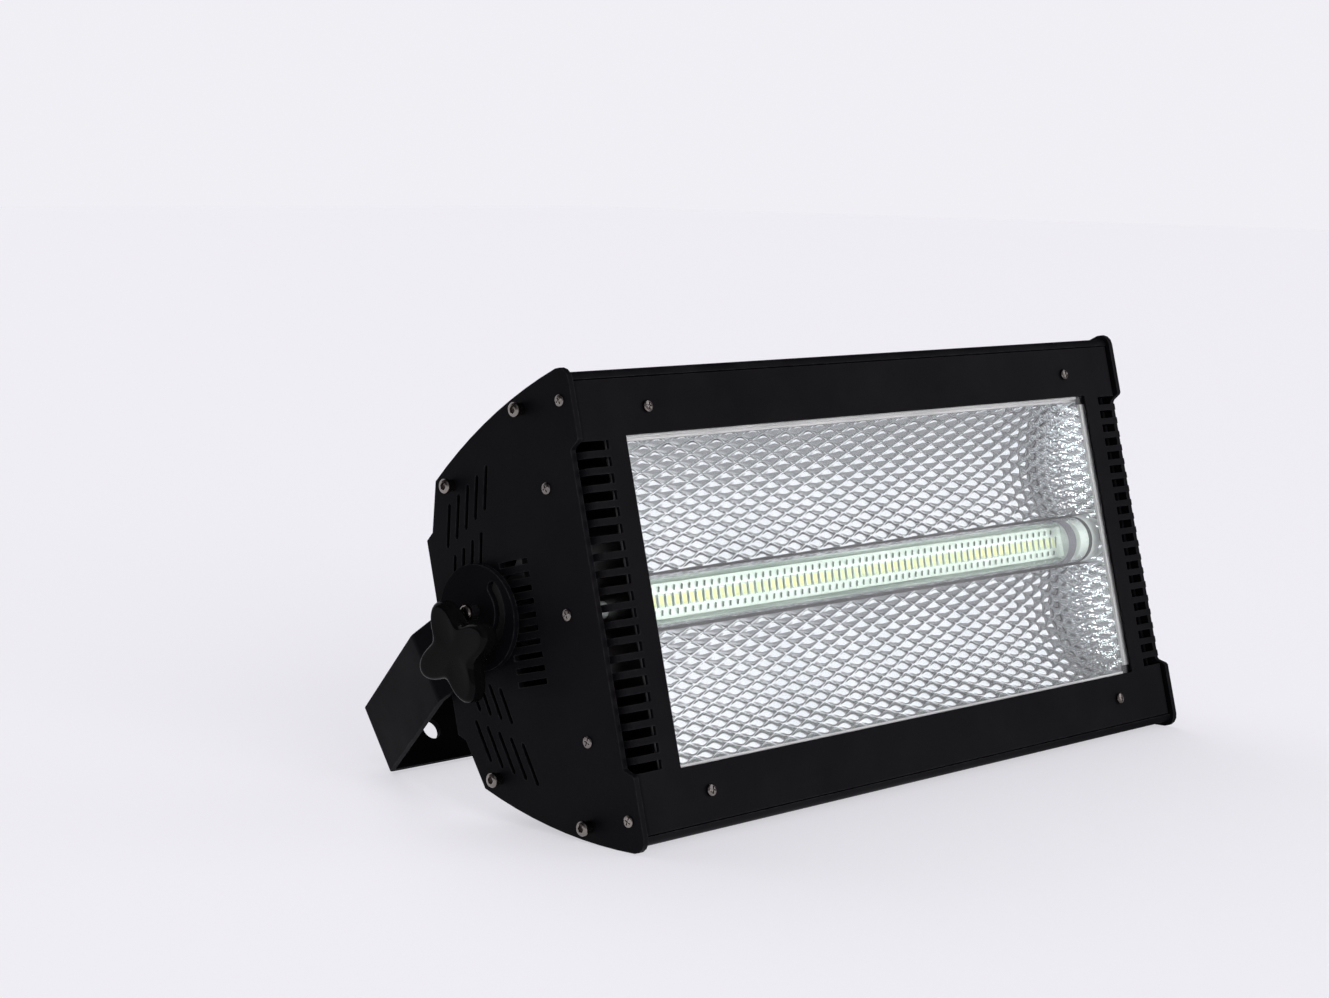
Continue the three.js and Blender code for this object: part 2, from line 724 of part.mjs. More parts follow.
const buttonXs = () => Array.from({ length: buttonCount }, (_, i) =>
  displayCentreX + (i - (buttonCount - 1) / 2) * buttonPitch);
const boardRearY = rearInnerY - gap - boardStandoff;
const buttonInnerY = rearInnerY - gap - buttonFlangeThickness;

function controlBoard() {
  const board = block(span(boardCentreX, boardWidth), [boardRearY - boardThickness, boardRearY],
    span(0, boardHeight));
  const standing = [boardRearY - boardThickness / 2, rearInnerY - gap];
  const posts = [-1, 1].flatMap((u) => [-1, 1].map((v) => rodY(boardPostDiameter,
    boardCentreX + u * (boardWidth / 2 - boardPostInset), standing,
    v * (boardHeight / 2 - boardPostInset), smallSides)));
  const module = block(span(displayCentreX, displayWidth - 2 * displayModuleMargin), standing,
    span(displayCentreZ, displayHeight - 2 * displayModuleMargin));
  const switches = buttonXs().map((x) => rodY(buttonDiameter / 2, x,
    [boardRearY - boardThickness / 2, buttonInnerY - buttonTravel - gap], buttonCentreZ, smallSides));
  return join(board, posts, module, switches);
}

function displayWindow() {
  return block(span(displayCentreX, displayWidth), [rearInnerY, rearInnerY + displayWindowThickness],
    span(displayCentreZ, displayHeight));
}

function menuButton(x) {
  return join(
    rodY(buttonDiameter, x, [buttonInnerY, rearOuterY + buttonProud], buttonCentreZ, smallSides),
    rodY(buttonFlangeDiameter, x, [buttonInnerY, rearInnerY - gap], buttonCentreZ, smallSides));
}

// Sockets on the rear panel

function mainsInlet() {
  const face = rearOuterY + gap + inletFlangeThickness;
  const floor = face - inletCavityDepth;
  const flange = block(span(inletCentreX, inletFlangeWidth), [rearOuterY + gap, face],
    span(inletCentreZ, inletFlangeHeight));
  const body = block(span(inletCentreX, inletBodyWidth), [face - inletBodyDepth, face],
    span(inletCentreZ, inletBodyHeight));
  const cavity = block(span(inletCentreX, inletCavityWidth), [floor, face + cutOverrun],
    span(inletCentreZ, inletCavityHeight));
  const pins = [[-1, -1], [0, 1], [1, -1]].map(([u, v]) => block(
    span(inletCentreX + u * inletPinSpacing, inletPinWidth), [floor - cutOverrun, floor + inletPinLength],
    span(inletCentreZ + v * inletEarthDrop, inletPinHeight)));
  return join(cut(join(flange, body), cavity), pins);
}

function fuseHolder() {
  const seat = rearOuterY + gap;
  const top = seat + fuseCapHeight;
  return cut(
    join(rodY(fuseCapDiameter, fuseCentreX, [seat, top], fuseCentreZ),
      rodY(fuseBodyDiameter, fuseCentreX, [top - fuseBodyDepth, seat + gap], fuseCentreZ)),
    block(span(fuseCentreX, fuseCapDiameter), [top - fuseSlotDepth, top + cutOverrun],
      span(fuseCentreZ, fuseSlotWidth)));
}

function pinPlaces(x) {
  return Array.from({ length: socketPinCount }, (_, i) => {
    const turn = degrees(quarterTurn + (i * fullTurn) / socketPinCount);
    return [x + socketPinCircle / 2 * Math.cos(turn), socketCentreZ + socketPinCircle / 2 * Math.sin(turn)];
  });
}

function signalSocket(x, pinned) {
  const face = rearOuterY + gap + socketFlangeThickness;
  const floor = face - socketCavityDepth;
  const flange = block(span(x, socketFlangeWidth), [rearOuterY + gap, face],
    span(socketCentreZ, socketFlangeHeight));
  const shell = join(flange, rodY(socketBodyDiameter, x, [face - socketBodyDepth, face], socketCentreZ));
  if (!pinned) {
    return cut(shell, pinPlaces(x).map(([u, v]) =>
      rodY(socketPinDiameter, u, [floor, face + cutOverrun], v, smallSides)));
  }
  const cavity = rodY(socketCavityDiameter, x, [floor, face + cutOverrun], socketCentreZ);
  return join(cut(shell, cavity), pinPlaces(x).map(([u, v]) =>
    rodY(socketPinDiameter, u, [floor - cutOverrun, floor + socketPinLength], v, smallSides)));
}

// Fans: the frame hangs on the end plate, and the rotor turns on its spindle

const fanOuterX = plateInnerX - gap;
const fanInnerX = fanOuterX - fanThickness;
const spiderOuterX = fanInnerX + fanSpiderThickness;
const rotorInnerX = spiderOuterX + gap;
const rotorOuterX = fanOuterX - gap;

function fanFrame(side) {
  const shell = cut(
    block(outward(side, fanInnerX, fanOuterX), span(fanCentreY, fanSize), span(fanCentreZ, fanSize)),
    rodX(fanBoreDiameter, outward(side, fanInnerX - cutOverrun, fanOuterX + cutOverrun),
      fanCentreY, fanCentreZ));
  const hub = rodX(fanHubDiameter, outward(side, fanInnerX, spiderOuterX), fanCentreY, fanCentreZ);
  const strut = block(outward(side, fanInnerX, spiderOuterX),
    span(fanCentreY, fanBoreDiameter + fanStrutWidth), span(fanCentreZ, fanStrutWidth));
  const upright = block(outward(side, fanInnerX, spiderOuterX),
    span(fanCentreY, fanStrutWidth), span(fanCentreZ, fanBoreDiameter + fanStrutWidth));
  const spindle = rodX(fanSpindleDiameter,
    outward(side, fanInnerX, rotorOuterX - fanSpiderThickness - gap), fanCentreY, fanCentreZ, smallSides);
  return join(shell, hub, strut, upright, spindle);
}

function fanRotor(side) {
  const hub = rodX(fanHubDiameter, outward(side, rotorInnerX, rotorOuterX), fanCentreY, fanCentreZ);
  const middleX = side * (rotorInnerX + rotorOuterX) / 2;
  const bladeLength = (fanTipDiameter - fanHubDiameter) / 2 + fanHubDiameter / 4;
  const blades = Array.from({ length: fanBladeCount }, (_, i) => {
    const geometry = new THREE.BoxGeometry(fanBladeChord, fanBladeThickness, bladeLength);
    geometry.rotateZ(degrees(fanBladePitchDeg));
    geometry.translate(0, 0, fanTipDiameter / 2 - bladeLength / 2);
    geometry.rotateX((2 * Math.PI * i) / fanBladeCount);
    return solid(geometry.translate(middleX, fanCentreY, fanCentreZ));
  });
  const bore = rodX(fanSpindleDiameter + 2 * gap,
    outward(side, rotorInnerX - cutOverrun, rotorOuterX - fanSpiderThickness),
    fanCentreY, fanCentreZ, smallSides);
  return cut(join(hub, blades), bore);
}

// End plate screws on their spacers

function capScrew(side, y, z) {
  const spacerEnd = plateOuterX + gap + capSpacerHeight;
  const headEnd = spacerEnd + capHeadHeight;
  return cut(
    join(rodX(capSpacerDiameter, outward(side, plateOuterX + gap, spacerEnd), y, z, smallSides),
      rodX(capHeadDiameter, outward(side, spacerEnd, headEnd), y, z, smallSides),
      rodX(capShankDiameter, outward(side, plateOuterX - capShankLength, spacerEnd), y, z, smallSides)),
    rodX(capSocketDiameter, outward(side, headEnd - capSocketDepth, headEnd + cutOverrun), y, z, hexSides));
}

// Yoke, drawn with its arm along Y and the pivot at zero, then turned to its place

function yokeOutline() {
  const fold = [yokeOuterX, yokeFoldOut];
  const corner = [yokeBarHalfLength, yokeBarOut];
  const half = [[yokeOuterX, 0], ...roundedCorner([yokeOuterX, 0], fold, corner, 2 * yokeBendRadius, 3),
    ...roundedCorner(fold, corner, [0, yokeBarOut], yokeBendRadius, 6)];
  return [...half, ...half.map(([x, out]) => [-x, out]).reverse()];
}

// The arc that rounds the corner at b, on the way from a to c
function roundedCorner(a, b, c, radius, steps) {
  const back = new THREE.Vector2(a[0] - b[0], a[1] - b[1]).normalize();
  const ahead = new THREE.Vector2(c[0] - b[0], c[1] - b[1]).normalize();
  const half = Math.acos(back.dot(ahead)) / 2;
  const middle = back.clone().add(ahead).normalize().multiplyScalar(radius / Math.sin(half));
  const from = back.clone().multiplyScalar(radius / Math.tan(half)).sub(middle);
  const to = ahead.clone().multiplyScalar(radius / Math.tan(half)).sub(middle);
  const turn = Math.atan2(from.x * to.y - from.y * to.x, from.dot(to));
  return Array.from({ length: steps + 1 }, (_, i) => {
    const point = from.clone().rotateAround(new THREE.Vector2(), (turn * i) / steps).add(middle);
    return [b[0] + point.x, b[1] + point.y];
  });
}

function arcSlot(yokeTurnDeg) {
  const [from, to] = [slotFrontDeg - yokeTurnDeg, slotRearDeg - yokeTurnDeg];
  const width = studDiameter + 2 * gap;
  const end = (turn) => [studRadius * Math.cos(degrees(turn)), studRadius * Math.sin(degrees(turn))];
  return [
    ...arc(0, 0, studRadius + width / 2, from, to, 14),
    ...arc(...end(to), width / 2, to, to + halfTurn, 6).slice(1, -1),
    ...arc(0, 0, studRadius - width / 2, to, from, 14),
    ...arc(...end(from), width / 2, from + halfTurn, from + fullTurn, 6).slice(1, -1),
  ];
}

function yoke(yokeTurnDeg) {
  const strip = extrudeZ(sheetOutline(yokeOutline(), -yokeSheet), span(yokeStripOffset, yokeStripWidth));
  const discs = [-1, 1].map((side) => rodX(2 * yokeDiscRadius, outward(side, yokeInnerX, yokeOuterX),
    yokeDiscOut, yokeDiscAcross, 2 * roundSides));
  const through = (side) => outward(side, yokeInnerX - cutOverrun, yokeOuterX + cutOverrun);
  const slots = [-1, 1].map((side) => extrudeX(arcSlot(yokeTurnDeg), through(side)));
  const pivotHoles = [-1, 1].map((side) =>
    rodX(pivotSleeveDiameter + 2 * gap, through(side), 0, 0, smallSides));
  const barDepth = [yokeBarOut - yokeSheet - cutOverrun, yokeBarOut + cutOverrun];
  const barHoles = [-barHoleX, barHoleX].map((x) => rodY(barHoleDiameter, x, barDepth, yokeStripOffset));
  const centreHole = rodY(barCentreHoleDiameter, 0, barDepth, yokeStripOffset);
  return cut(join(strip, discs), slots, pivotHoles, barHoles, centreHole);
}

// The head's tilt sets the table's level, and the yoke turns until its bar's lower edge is on it
function yokeTurn() {
  const tilt = degrees(headTiltDeg);
  const height = ([y, z]) => z * Math.cos(tilt) - y * Math.sin(tilt);
  const table = Math.min(...endPlateOutline().map(height));
  const edge = [yokeBarOut, yokeStripOffset - yokeStripWidth / 2];
  const reach = Math.hypot(...edge);
  const droop = Math.asin((table - height([pivotY, pivotZ])) / reach) - Math.atan2(edge[1], edge[0]);
  return THREE.MathUtils.radToDeg(droop + tilt);
}

// Pivot and clamp on each side

const sleeveEndX = plateOuterX + gap + pivotSleeveLength;
const pivotHeadX = sleeveEndX + gap;
const clampWasherX = yokeOuterX + gap;
const knobHubX = clampWasherX + clampWasherThickness + gap;
const knobStarX = knobHubX + knobHubLength;
const knobFrontX = knobStarX + knobStarThickness;
const studEndX = knobFrontX - knobFrontWall - gap;

function frictionWasher(side) {
  const from = plateOuterX + gap;
  const reach = [from - cutOverrun, from + frictionWasherThickness + cutOverrun];
  return cut(
    rodX(frictionWasherDiameter, outward(side, from, from + frictionWasherThickness), pivotY, pivotZ),
    rodX(pivotSleeveDiameter + 2 * gap, outward(side, ...reach), pivotY, pivotZ, smallSides),
    rodX(studDiameter + 2 * gap, outward(side, ...reach), studY, studZ, smallSides));
}

function pivotSleeve(side) {
  const from = plateOuterX + gap;
  return cut(rodX(pivotSleeveDiameter, outward(side, from, sleeveEndX), pivotY, pivotZ, smallSides),
    rodX(pivotShankDiameter + 2 * gap, outward(side, from - cutOverrun, sleeveEndX + cutOverrun),
      pivotY, pivotZ, smallSides));
}

function pivotScrew(side) {
  const headEnd = pivotHeadX + pivotHeadHeight;
  return cut(
    join(rodX(pivotHeadDiameter, outward(side, pivotHeadX, headEnd), pivotY, pivotZ),
      rodX(pivotShankDiameter, outward(side, plateInnerX - pivotInnerLength, pivotHeadX + gap),
        pivotY, pivotZ, smallSides)),
    rodX(pivotSocketDiameter, outward(side, headEnd - pivotSocketDepth, headEnd + cutOverrun),
      pivotY, pivotZ, hexSides));
}

function clampStud(side) {
  const headEnd = plateInnerX - gap;
  return join(rodX(studDiameter, outward(side, headEnd - gap, studEndX), studY, studZ, smallSides),
    rodX(studHeadDiameter, outward(side, headEnd - studHeadThickness, headEnd), studY, studZ, hexSides));
}

function clampWasher(side) {
  const ends = [clampWasherX, clampWasherX + clampWasherThickness];
  return cut(rodX(clampWasherDiameter, outward(side, ...ends), studY, studZ),
    rodX(studDiameter + 2 * gap, outward(side, ends[0] - cutOverrun, ends[1] + cutOverrun),
      studY, studZ, smallSides));
}

function knob(side) {
  const steps = 10 * knobLobes;
  const core = (inset) => Array.from({ length: steps }, (_, i) => {
    const angle = (2 * Math.PI * i) / steps;
    const lobe = ((1 + Math.cos(knobLobes * angle)) / 2) ** knobLobePower;
    const radius = knobValleyRadius + (knobTipRadius - knobValleyRadius) * lobe - inset;
    const turn = angle + degrees(knobLobeTurnDeg);
    return [radius * Math.cos(turn), radius * Math.sin(turn)];
  });
  const shape = new THREE.Shape(core(knobStarBevel).map(([u, v]) => new THREE.Vector2(u, v)));
  const star = new THREE.ExtrudeGeometry(shape, {
    depth: knobStarThickness - 2 * knobStarBevel, steps: 1,
    bevelThickness: knobStarBevel, bevelSize: knobStarBevel, bevelSegments: 2,
  });
  star.translate(0, 0, knobStarBevel);
  const axes = new THREE.Matrix4().makeBasis(
    new THREE.Vector3(0, 1, 0), new THREE.Vector3(0, 0, 1), new THREE.Vector3(side, 0, 0));
  star.applyMatrix4(axes).translate(side * knobStarX, studY, studZ);
  return cut(
    join(solid(star),
      rodX(knobHubDiameter, outward(side, knobHubX, knobStarX + knobStarBevel), studY, studZ)),
    rodX(studDiameter + 2 * gap, outward(side, knobHubX - cutOverrun, studEndX + gap),
      studY, studZ, smallSides));
}

// Finishes

const blackCoat = { color: 0x111114, roughness: 0.5, metalness: 0.1 };
const blackPlastic = { color: 0x0b0b0c, roughness: 0.3, metalness: 0 };
const mirrorSheet = { color: 0xdfe4e6, roughness: 0.15, metalness: 1 };
const nickel = { color: 0xa39a90, roughness: 0.35, metalness: 1 };
const clearGlass = { color: 0xf4fbf8, roughness: 0.05, metalness: 0, transparent: true, opacity: 0.25 };
const rubber = { color: 0x1a1a1a, roughness: 0.9, metalness: 0 };
const boardGreen = { color: 0x2c5c3a, roughness: 0.6, metalness: 0 };
const boardWhite = { color: 0xdfe9df, roughness: 0.5, metalness: 0 };
const phosphor = { color: 0xe9e6a0, roughness: 0.5, metalness: 0 };
const aluminium = { color: 0xb8babd, roughness: 0.45, metalness: 1 };

const strobe = new THREE.Group();
const head = new THREE.Group();
const arm = new THREE.Group();
strobe.add(head);
head.rotation.x = -degrees(headTiltDeg);
head.add(arm);
const yokeTurnDeg = yokeTurn();
arm.position.set(0, pivotY, pivotZ);
arm.rotation.x = degrees(yokeTurnDeg);

function add(parent, name, manifold, finish) {
  const mesh = new THREE.Mesh(geometryOf(manifold), new THREE.MeshStandardMaterial(finish));
  mesh.name = name;
  parent.add(mesh);
}

add(head, 'front_bezel', frontBezel(), blackCoat);
add(head, 'top_cover', cover(1), blackCoat);
add(head, 'bottom_cover', cover(-1), blackCoat);
add(head, 'rear_panel', rearPanel(), blackCoat);
add(head, 'window_glass', windowGlass(), clearGlass);
add(head, 'window_seal', windowSeal(), rubber);
add(head, 'reflector', reflector(), mirrorSheet);
add(head, 'glass_tube', glassTube(), clearGlass);
add(head, 'lamp_board', lampBoard(), boardWhite);
add(head, 'led_row', ledRow(), phosphor);
add(head, 'heat_sink', heatSink(), aluminium);
add(head, 'power_supply', powerSupply(), aluminium);
add(head, 'control_board', controlBoard(), boardGreen);
add(head, 'display_window', displayWindow(), clearGlass);
add(head, 'mains_inlet', mainsInlet(), blackPlastic);
add(head, 'fuse_holder', fuseHolder(), blackPlastic);
add(head, 'dmx_in_socket', signalSocket(socketCentreXs[0], true), blackPlastic);
add(head, 'dmx_out_socket', signalSocket(socketCentreXs[1], false), blackPlastic);
buttonXs().forEach((x, i) => add(head, `menu_button_${i + 1}`, menuButton(x), rubber));
bezelScrewPlaces().forEach((place, i) => add(head, `bezel_screw_${i + 1}`, bezelScrew(place), nickel));
add(arm, 'yoke', yoke(yokeTurnDeg), blackCoat);

for (const [name, side] of Object.entries(sides)) {
  add(head, `${name}_end_plate`, endPlate(side), blackCoat);
  add(head, `${name}_reflector_end`, reflectorEnd(side), mirrorSheet);
  add(head, `${name}_tube_holder`, tubeHolder(side), blackPlastic);
  add(head, `${name}_fan_frame`, fanFrame(side), blackPlastic);
  add(head, `${name}_fan_rotor`, fanRotor(side), blackPlastic);
  add(head, `${name}_friction_washer`, frictionWasher(side), rubber);
  add(head, `${name}_pivot_sleeve`, pivotSleeve(side), blackCoat);
  add(head, `${name}_pivot_screw`, pivotScrew(side), nickel);
  add(head, `${name}_clamp_stud`, clampStud(side), nickel);
  add(head, `${name}_clamp_washer`, clampWasher(side), nickel);
  add(head, `${name}_knob`, knob(side), blackPlastic);
  capScrewPlaces.flatMap(({ y, z }) => [[y, z], [y, -z]]).forEach(([y, z], i) =>
    add(head, `${name}_cap_screw_${i + 1}`, capScrew(side, y, z), nickel));
}

// The origin is under the middle of the object, on the surface that it stands on
strobe.updateMatrixWorld(true);
const bounds = new THREE.Box3().setFromObject(strobe, true);
const middle = bounds.getCenter(new THREE.Vector3());
strobe.position.set(-middle.x, -middle.y, -bounds.min.z);
strobe.updateMatrixWorld(true);

export default strobe;
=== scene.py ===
"""Looks of a stage strobe light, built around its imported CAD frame.

Sizes are in millimetres in the head's own axes unless a name says otherwise: X runs to the
viewer's right, Y to the rear and Z up the front face, from the middle of the front face.
"""

from __future__ import annotations

import json
import logging
import math
import random
from bisect import bisect_left
from dataclasses import dataclass, field
from enum import Enum
from itertools import product, repeat
from typing import Any, Iterable, Sequence

import bmesh
import bpy
from mathutils import Matrix, Vector

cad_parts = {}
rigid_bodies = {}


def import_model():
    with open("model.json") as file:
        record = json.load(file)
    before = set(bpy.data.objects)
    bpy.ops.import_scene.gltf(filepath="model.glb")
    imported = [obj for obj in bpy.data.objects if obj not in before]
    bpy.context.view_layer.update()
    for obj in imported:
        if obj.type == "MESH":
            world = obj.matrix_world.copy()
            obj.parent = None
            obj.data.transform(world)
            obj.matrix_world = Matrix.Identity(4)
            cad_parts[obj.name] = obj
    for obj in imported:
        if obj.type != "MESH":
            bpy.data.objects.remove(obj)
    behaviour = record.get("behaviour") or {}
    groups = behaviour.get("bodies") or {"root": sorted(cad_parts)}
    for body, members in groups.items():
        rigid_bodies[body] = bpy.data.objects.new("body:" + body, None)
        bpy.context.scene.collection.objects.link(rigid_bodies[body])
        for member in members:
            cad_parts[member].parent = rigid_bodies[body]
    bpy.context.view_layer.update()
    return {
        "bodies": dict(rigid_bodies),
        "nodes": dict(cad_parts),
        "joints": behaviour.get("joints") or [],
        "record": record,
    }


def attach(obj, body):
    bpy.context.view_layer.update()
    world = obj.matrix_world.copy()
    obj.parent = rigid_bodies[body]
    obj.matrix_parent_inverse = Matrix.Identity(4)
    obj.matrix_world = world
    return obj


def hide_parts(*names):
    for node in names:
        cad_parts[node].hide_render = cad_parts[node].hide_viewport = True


LOG = logging.getLogger("strobe")
MM = 0.001
SIDES = {"left": -1, "right": 1}
LEVELS = {"upper": 1, "lower": -1}
Colour = tuple[float, float, float]
Point = tuple[float, float, float]
Pair = tuple[float, float]
Mesh = bmesh.types.BMesh
Socket = bpy.types.NodeSocket


class Slot(Enum):
    """The record's material slots, passed along with new pieces but not set on them."""

    SHELL = "shell"
    GLASS = "clear_glass"
    RUBBER = "rubber"
    REFLECTOR = "reflector"
    BOARD_WHITE = "board_white"
    PHOSPHOR = "phosphor"
    HOLDER = "holder"
    KNOB = "knob"
    NICKEL = "nickel"
    PLASTIC = "plastic"


class Recess(Enum):
    """The driver recess of a screw."""

    CROSS = "cross"
    HEXAGON = "hexagon"


# Shader nodes


class Graph:
    """Adds nodes to one node tree and joins them."""

    def __init__(self, tree: bpy.types.NodeTree) -> None:
        """Keeps the tree that the nodes go to."""
        self.tree = tree

    def first(self, kind: str) -> bpy.types.Node:
        """Returns the tree's first node of a type."""
        return next(node for node in self.tree.nodes if node.type == kind)

    def fill(self, inputs: Any, values: dict[Any, Any]) -> None:
        """Gives inputs their values.

        Args:
            inputs: the inputs of a node.
            values: what each gets, by name or number: a plain value, or a socket to join.
        """
        for key, value in values.items():
            if isinstance(value, Socket):
                self.tree.links.new(value, inputs[key])
            else:
                inputs[key].default_value = value

    def add(self, kind: str, values: dict[Any, Any] | None = None, **settings: Any) -> bpy.types.Node:
        """Adds one node.

        Args:
            kind: the node's type, without the leading ShaderNode.
            values: what its inputs get.
            settings: attributes of the node, such as its operation.

        Returns:
            The new node.
        """
        node = self.tree.nodes.new(f"ShaderNode{kind}")
        for name, value in settings.items():
            setattr(node, name, value)
        self.fill(node.inputs, values or {})
        return node

    def math(self, operation: str, first: Any, second: Any = 0.0, clamp: bool = True) -> Socket:
        """Returns the result of one Math node, kept between 0 and 1 unless clamp is off."""
        return self.add("Math", {0: first, 1: second}, operation=operation, use_clamp=clamp).outputs[0]

    def ramp(self, factor: Any, low: float, high: float, start: Any = 0.0, end: Any = 1.0,
             kind: str = "SMOOTHSTEP") -> Socket:
        """Returns factor mapped from low..high to start..end."""
        values = {"Value": factor, "From Min": low, "From Max": high, "To Min": start, "To Max": end}
        return self.add("MapRange", values, interpolation_type=kind).outputs["Result"]

    def plateau(self, factor: Any, edges: Sequence[float]) -> Socket:
        """Returns 1 between the two middle edges, falling smoothly to 0 at the outer ones."""
        rising = self.ramp(factor, edges[0], edges[1])
        return self.math("MULTIPLY", rising, self.ramp(factor, edges[2], edges[3], 1.0, 0.0))

    def between(self, factor: Any, first: Any, second: Any) -> Socket:
        """Returns the value between first and second at factor."""
        return self.add("Mix", {0: factor, 2: first, 3: second}, data_type="FLOAT").outputs[0]

    def blend(self, factor: Any, *pair: Any) -> Socket:
        """Returns the colour between a pair of colours at factor."""
        first, second = [value if isinstance(value, Socket) else (*value, 1.0) for value in pair]
        return self.add("Mix", {0: factor, 6: first, 7: second}, data_type="RGBA").outputs[2]

    def place(self) -> Socket:
        """Returns the object's own coordinates."""
        return self.add("TexCoord").outputs["Object"]

    def noise(self, scale: Any, detail: float, roughness: float = 0.5, place: Any = None) -> Socket:
        """Returns noise over the object's own coordinates, unless another place is given."""
        values = {"Vector": self.place() if place is None else place, "Scale": scale, "Detail": detail,
                  "Roughness": roughness}
        return self.add("TexNoise", values).outputs[0]

    def bump(self, height: Any, distance: float) -> Socket:
        """Returns the normal of a surface that height raises by at most a distance in metres."""
        return self.add("Bump", {"Height": height, "Distance": distance}).outputs[0]


class Effects:
    """The node groups that several materials share, each built once."""

    def __init__(self) -> None:
        """Builds the groups."""
        self.grain = self._grain()
        self.wear = self._wear()
        self.dust = self._dust()
        self.streaks = self._streaks()

    @staticmethod
    def _group(name: str, inputs: dict[str, float], outputs: Sequence[str]) -> tuple[Graph, Any, Any]:
        """Starts a group with float sockets.

        Args:
            name: the group's name.
            inputs: its inputs and what they hold when nothing is joined.
            outputs: its outputs.

        Returns:
            A graph on the group, the sockets that it is given and those that it puts out.
        """
        tree = bpy.data.node_groups.new(name, "ShaderNodeTree")
        for label, value in inputs.items():
            socket = tree.interface.new_socket(label, in_out="INPUT", socket_type="NodeSocketFloat")
            socket.default_value = value
        for label in outputs:
            tree.interface.new_socket(label, in_out="OUTPUT", socket_type="NodeSocketFloat")
        given, result = (tree.nodes.new(f"NodeGroup{end}") for end in ("Input", "Output"))
        return Graph(tree), given.outputs, result.inputs

    def _grain(self) -> bpy.types.NodeTree:
        """The fine pebbled skin of powder coat and moulded plastic, and its slow uneven gloss.

        Returns:
            The group.
        """
        graph, given, result = self._group(
            "skin_grain", {"Scale": 900.0, "Low": 0.4, "High": 0.6}, ("Height", "Roughness"))
        gloss = graph.ramp(graph.noise(14.0, 4.0, 0.6), 0.3, 0.7, given["Low"], given["High"], "LINEAR")
        graph.fill(result, {"Height": graph.noise(given["Scale"], 2.0), "Roughness": gloss})
        return graph.tree

    def _wear(self) -> bpy.types.NodeTree:
        """A mask of rubbed edges, from the turn of the surface within the radius.

        Returns:
            The group.
        """
        graph, given, result = self._group("edge_wear", {"Radius": 0.0008, "Share": 0.5}, ("Mask",))
        rounded = graph.add("Bevel", {"Radius": given["Radius"]}, samples=4).outputs[0]
        plain = graph.add("NewGeometry").outputs["Normal"]
        turn = graph.add("VectorMath", {0: rounded, 1: plain}, operation="DOT_PRODUCT").outputs["Value"]
        broken = graph.ramp(graph.noise(260.0, 3.0), 0.35, 0.65, 0.25, 1.0)
        rubbed = graph.math("MULTIPLY", graph.ramp(turn, 0.995, 0.85), broken)
        graph.fill(result, {"Mask": graph.math("MULTIPLY", rubbed, given["Share"])})
        return graph.tree

    def _dust(self) -> bpy.types.NodeTree:
        """A mask of the dust that settles on faces that look up.

        Returns:
            The group.
        """
        graph, given, result = self._group("settled_dust", {"Share": 0.1}, ("Mask",))
        up = graph.add("SeparateXYZ", {0: graph.add("NewGeometry").outputs["Normal"]}).outputs["Z"]
        cloud = graph.ramp(graph.noise(38.0, 6.0, 0.7), 0.4, 0.7)
        settled = graph.math("MULTIPLY", graph.ramp(up, 0.2, 1.0, 0.15, 1.0), cloud)
        graph.fill(result, {"Mask": graph.math("MULTIPLY", settled, given["Share"])})
        return graph.tree

    def _streaks(self) -> bpy.types.NodeTree:
        """Fine lines along X, as on rolled and drawn metal and on a drawn glass tube.

        Returns:
            The group.
        """
        graph, _, result = self._group("drawn_streaks", {}, ("Height", "Mask"))
        stretch = {"Vector": graph.place(), "Scale": (6.0, 900.0, 900.0)}
        lines = graph.noise(1.0, 2.0, place=graph.add("Mapping", stretch).outputs[0])
        graph.fill(result, {"Height": lines, "Mask": graph.ramp(lines, 0.4, 0.6)})
        return graph.tree


# Finishes


def started(name: str, colour: Colour, alpha: float = 1.0) -> tuple[bpy.types.Material, Graph, Any]:
    """Starts a material.

    Args:
        name: its name.
        colour: its colour in Blender's own solid view.
        alpha: how solid it is there.

    Returns:
        The material, a graph on its nodes, and its Principled BSDF.
    """
    made = bpy.data.materials.new(name)
    made.use_nodes = True
    made.diffuse_color = (*colour, alpha)
    graph = Graph(made.node_tree)
    return made, graph, graph.first("BSDF_PRINCIPLED")


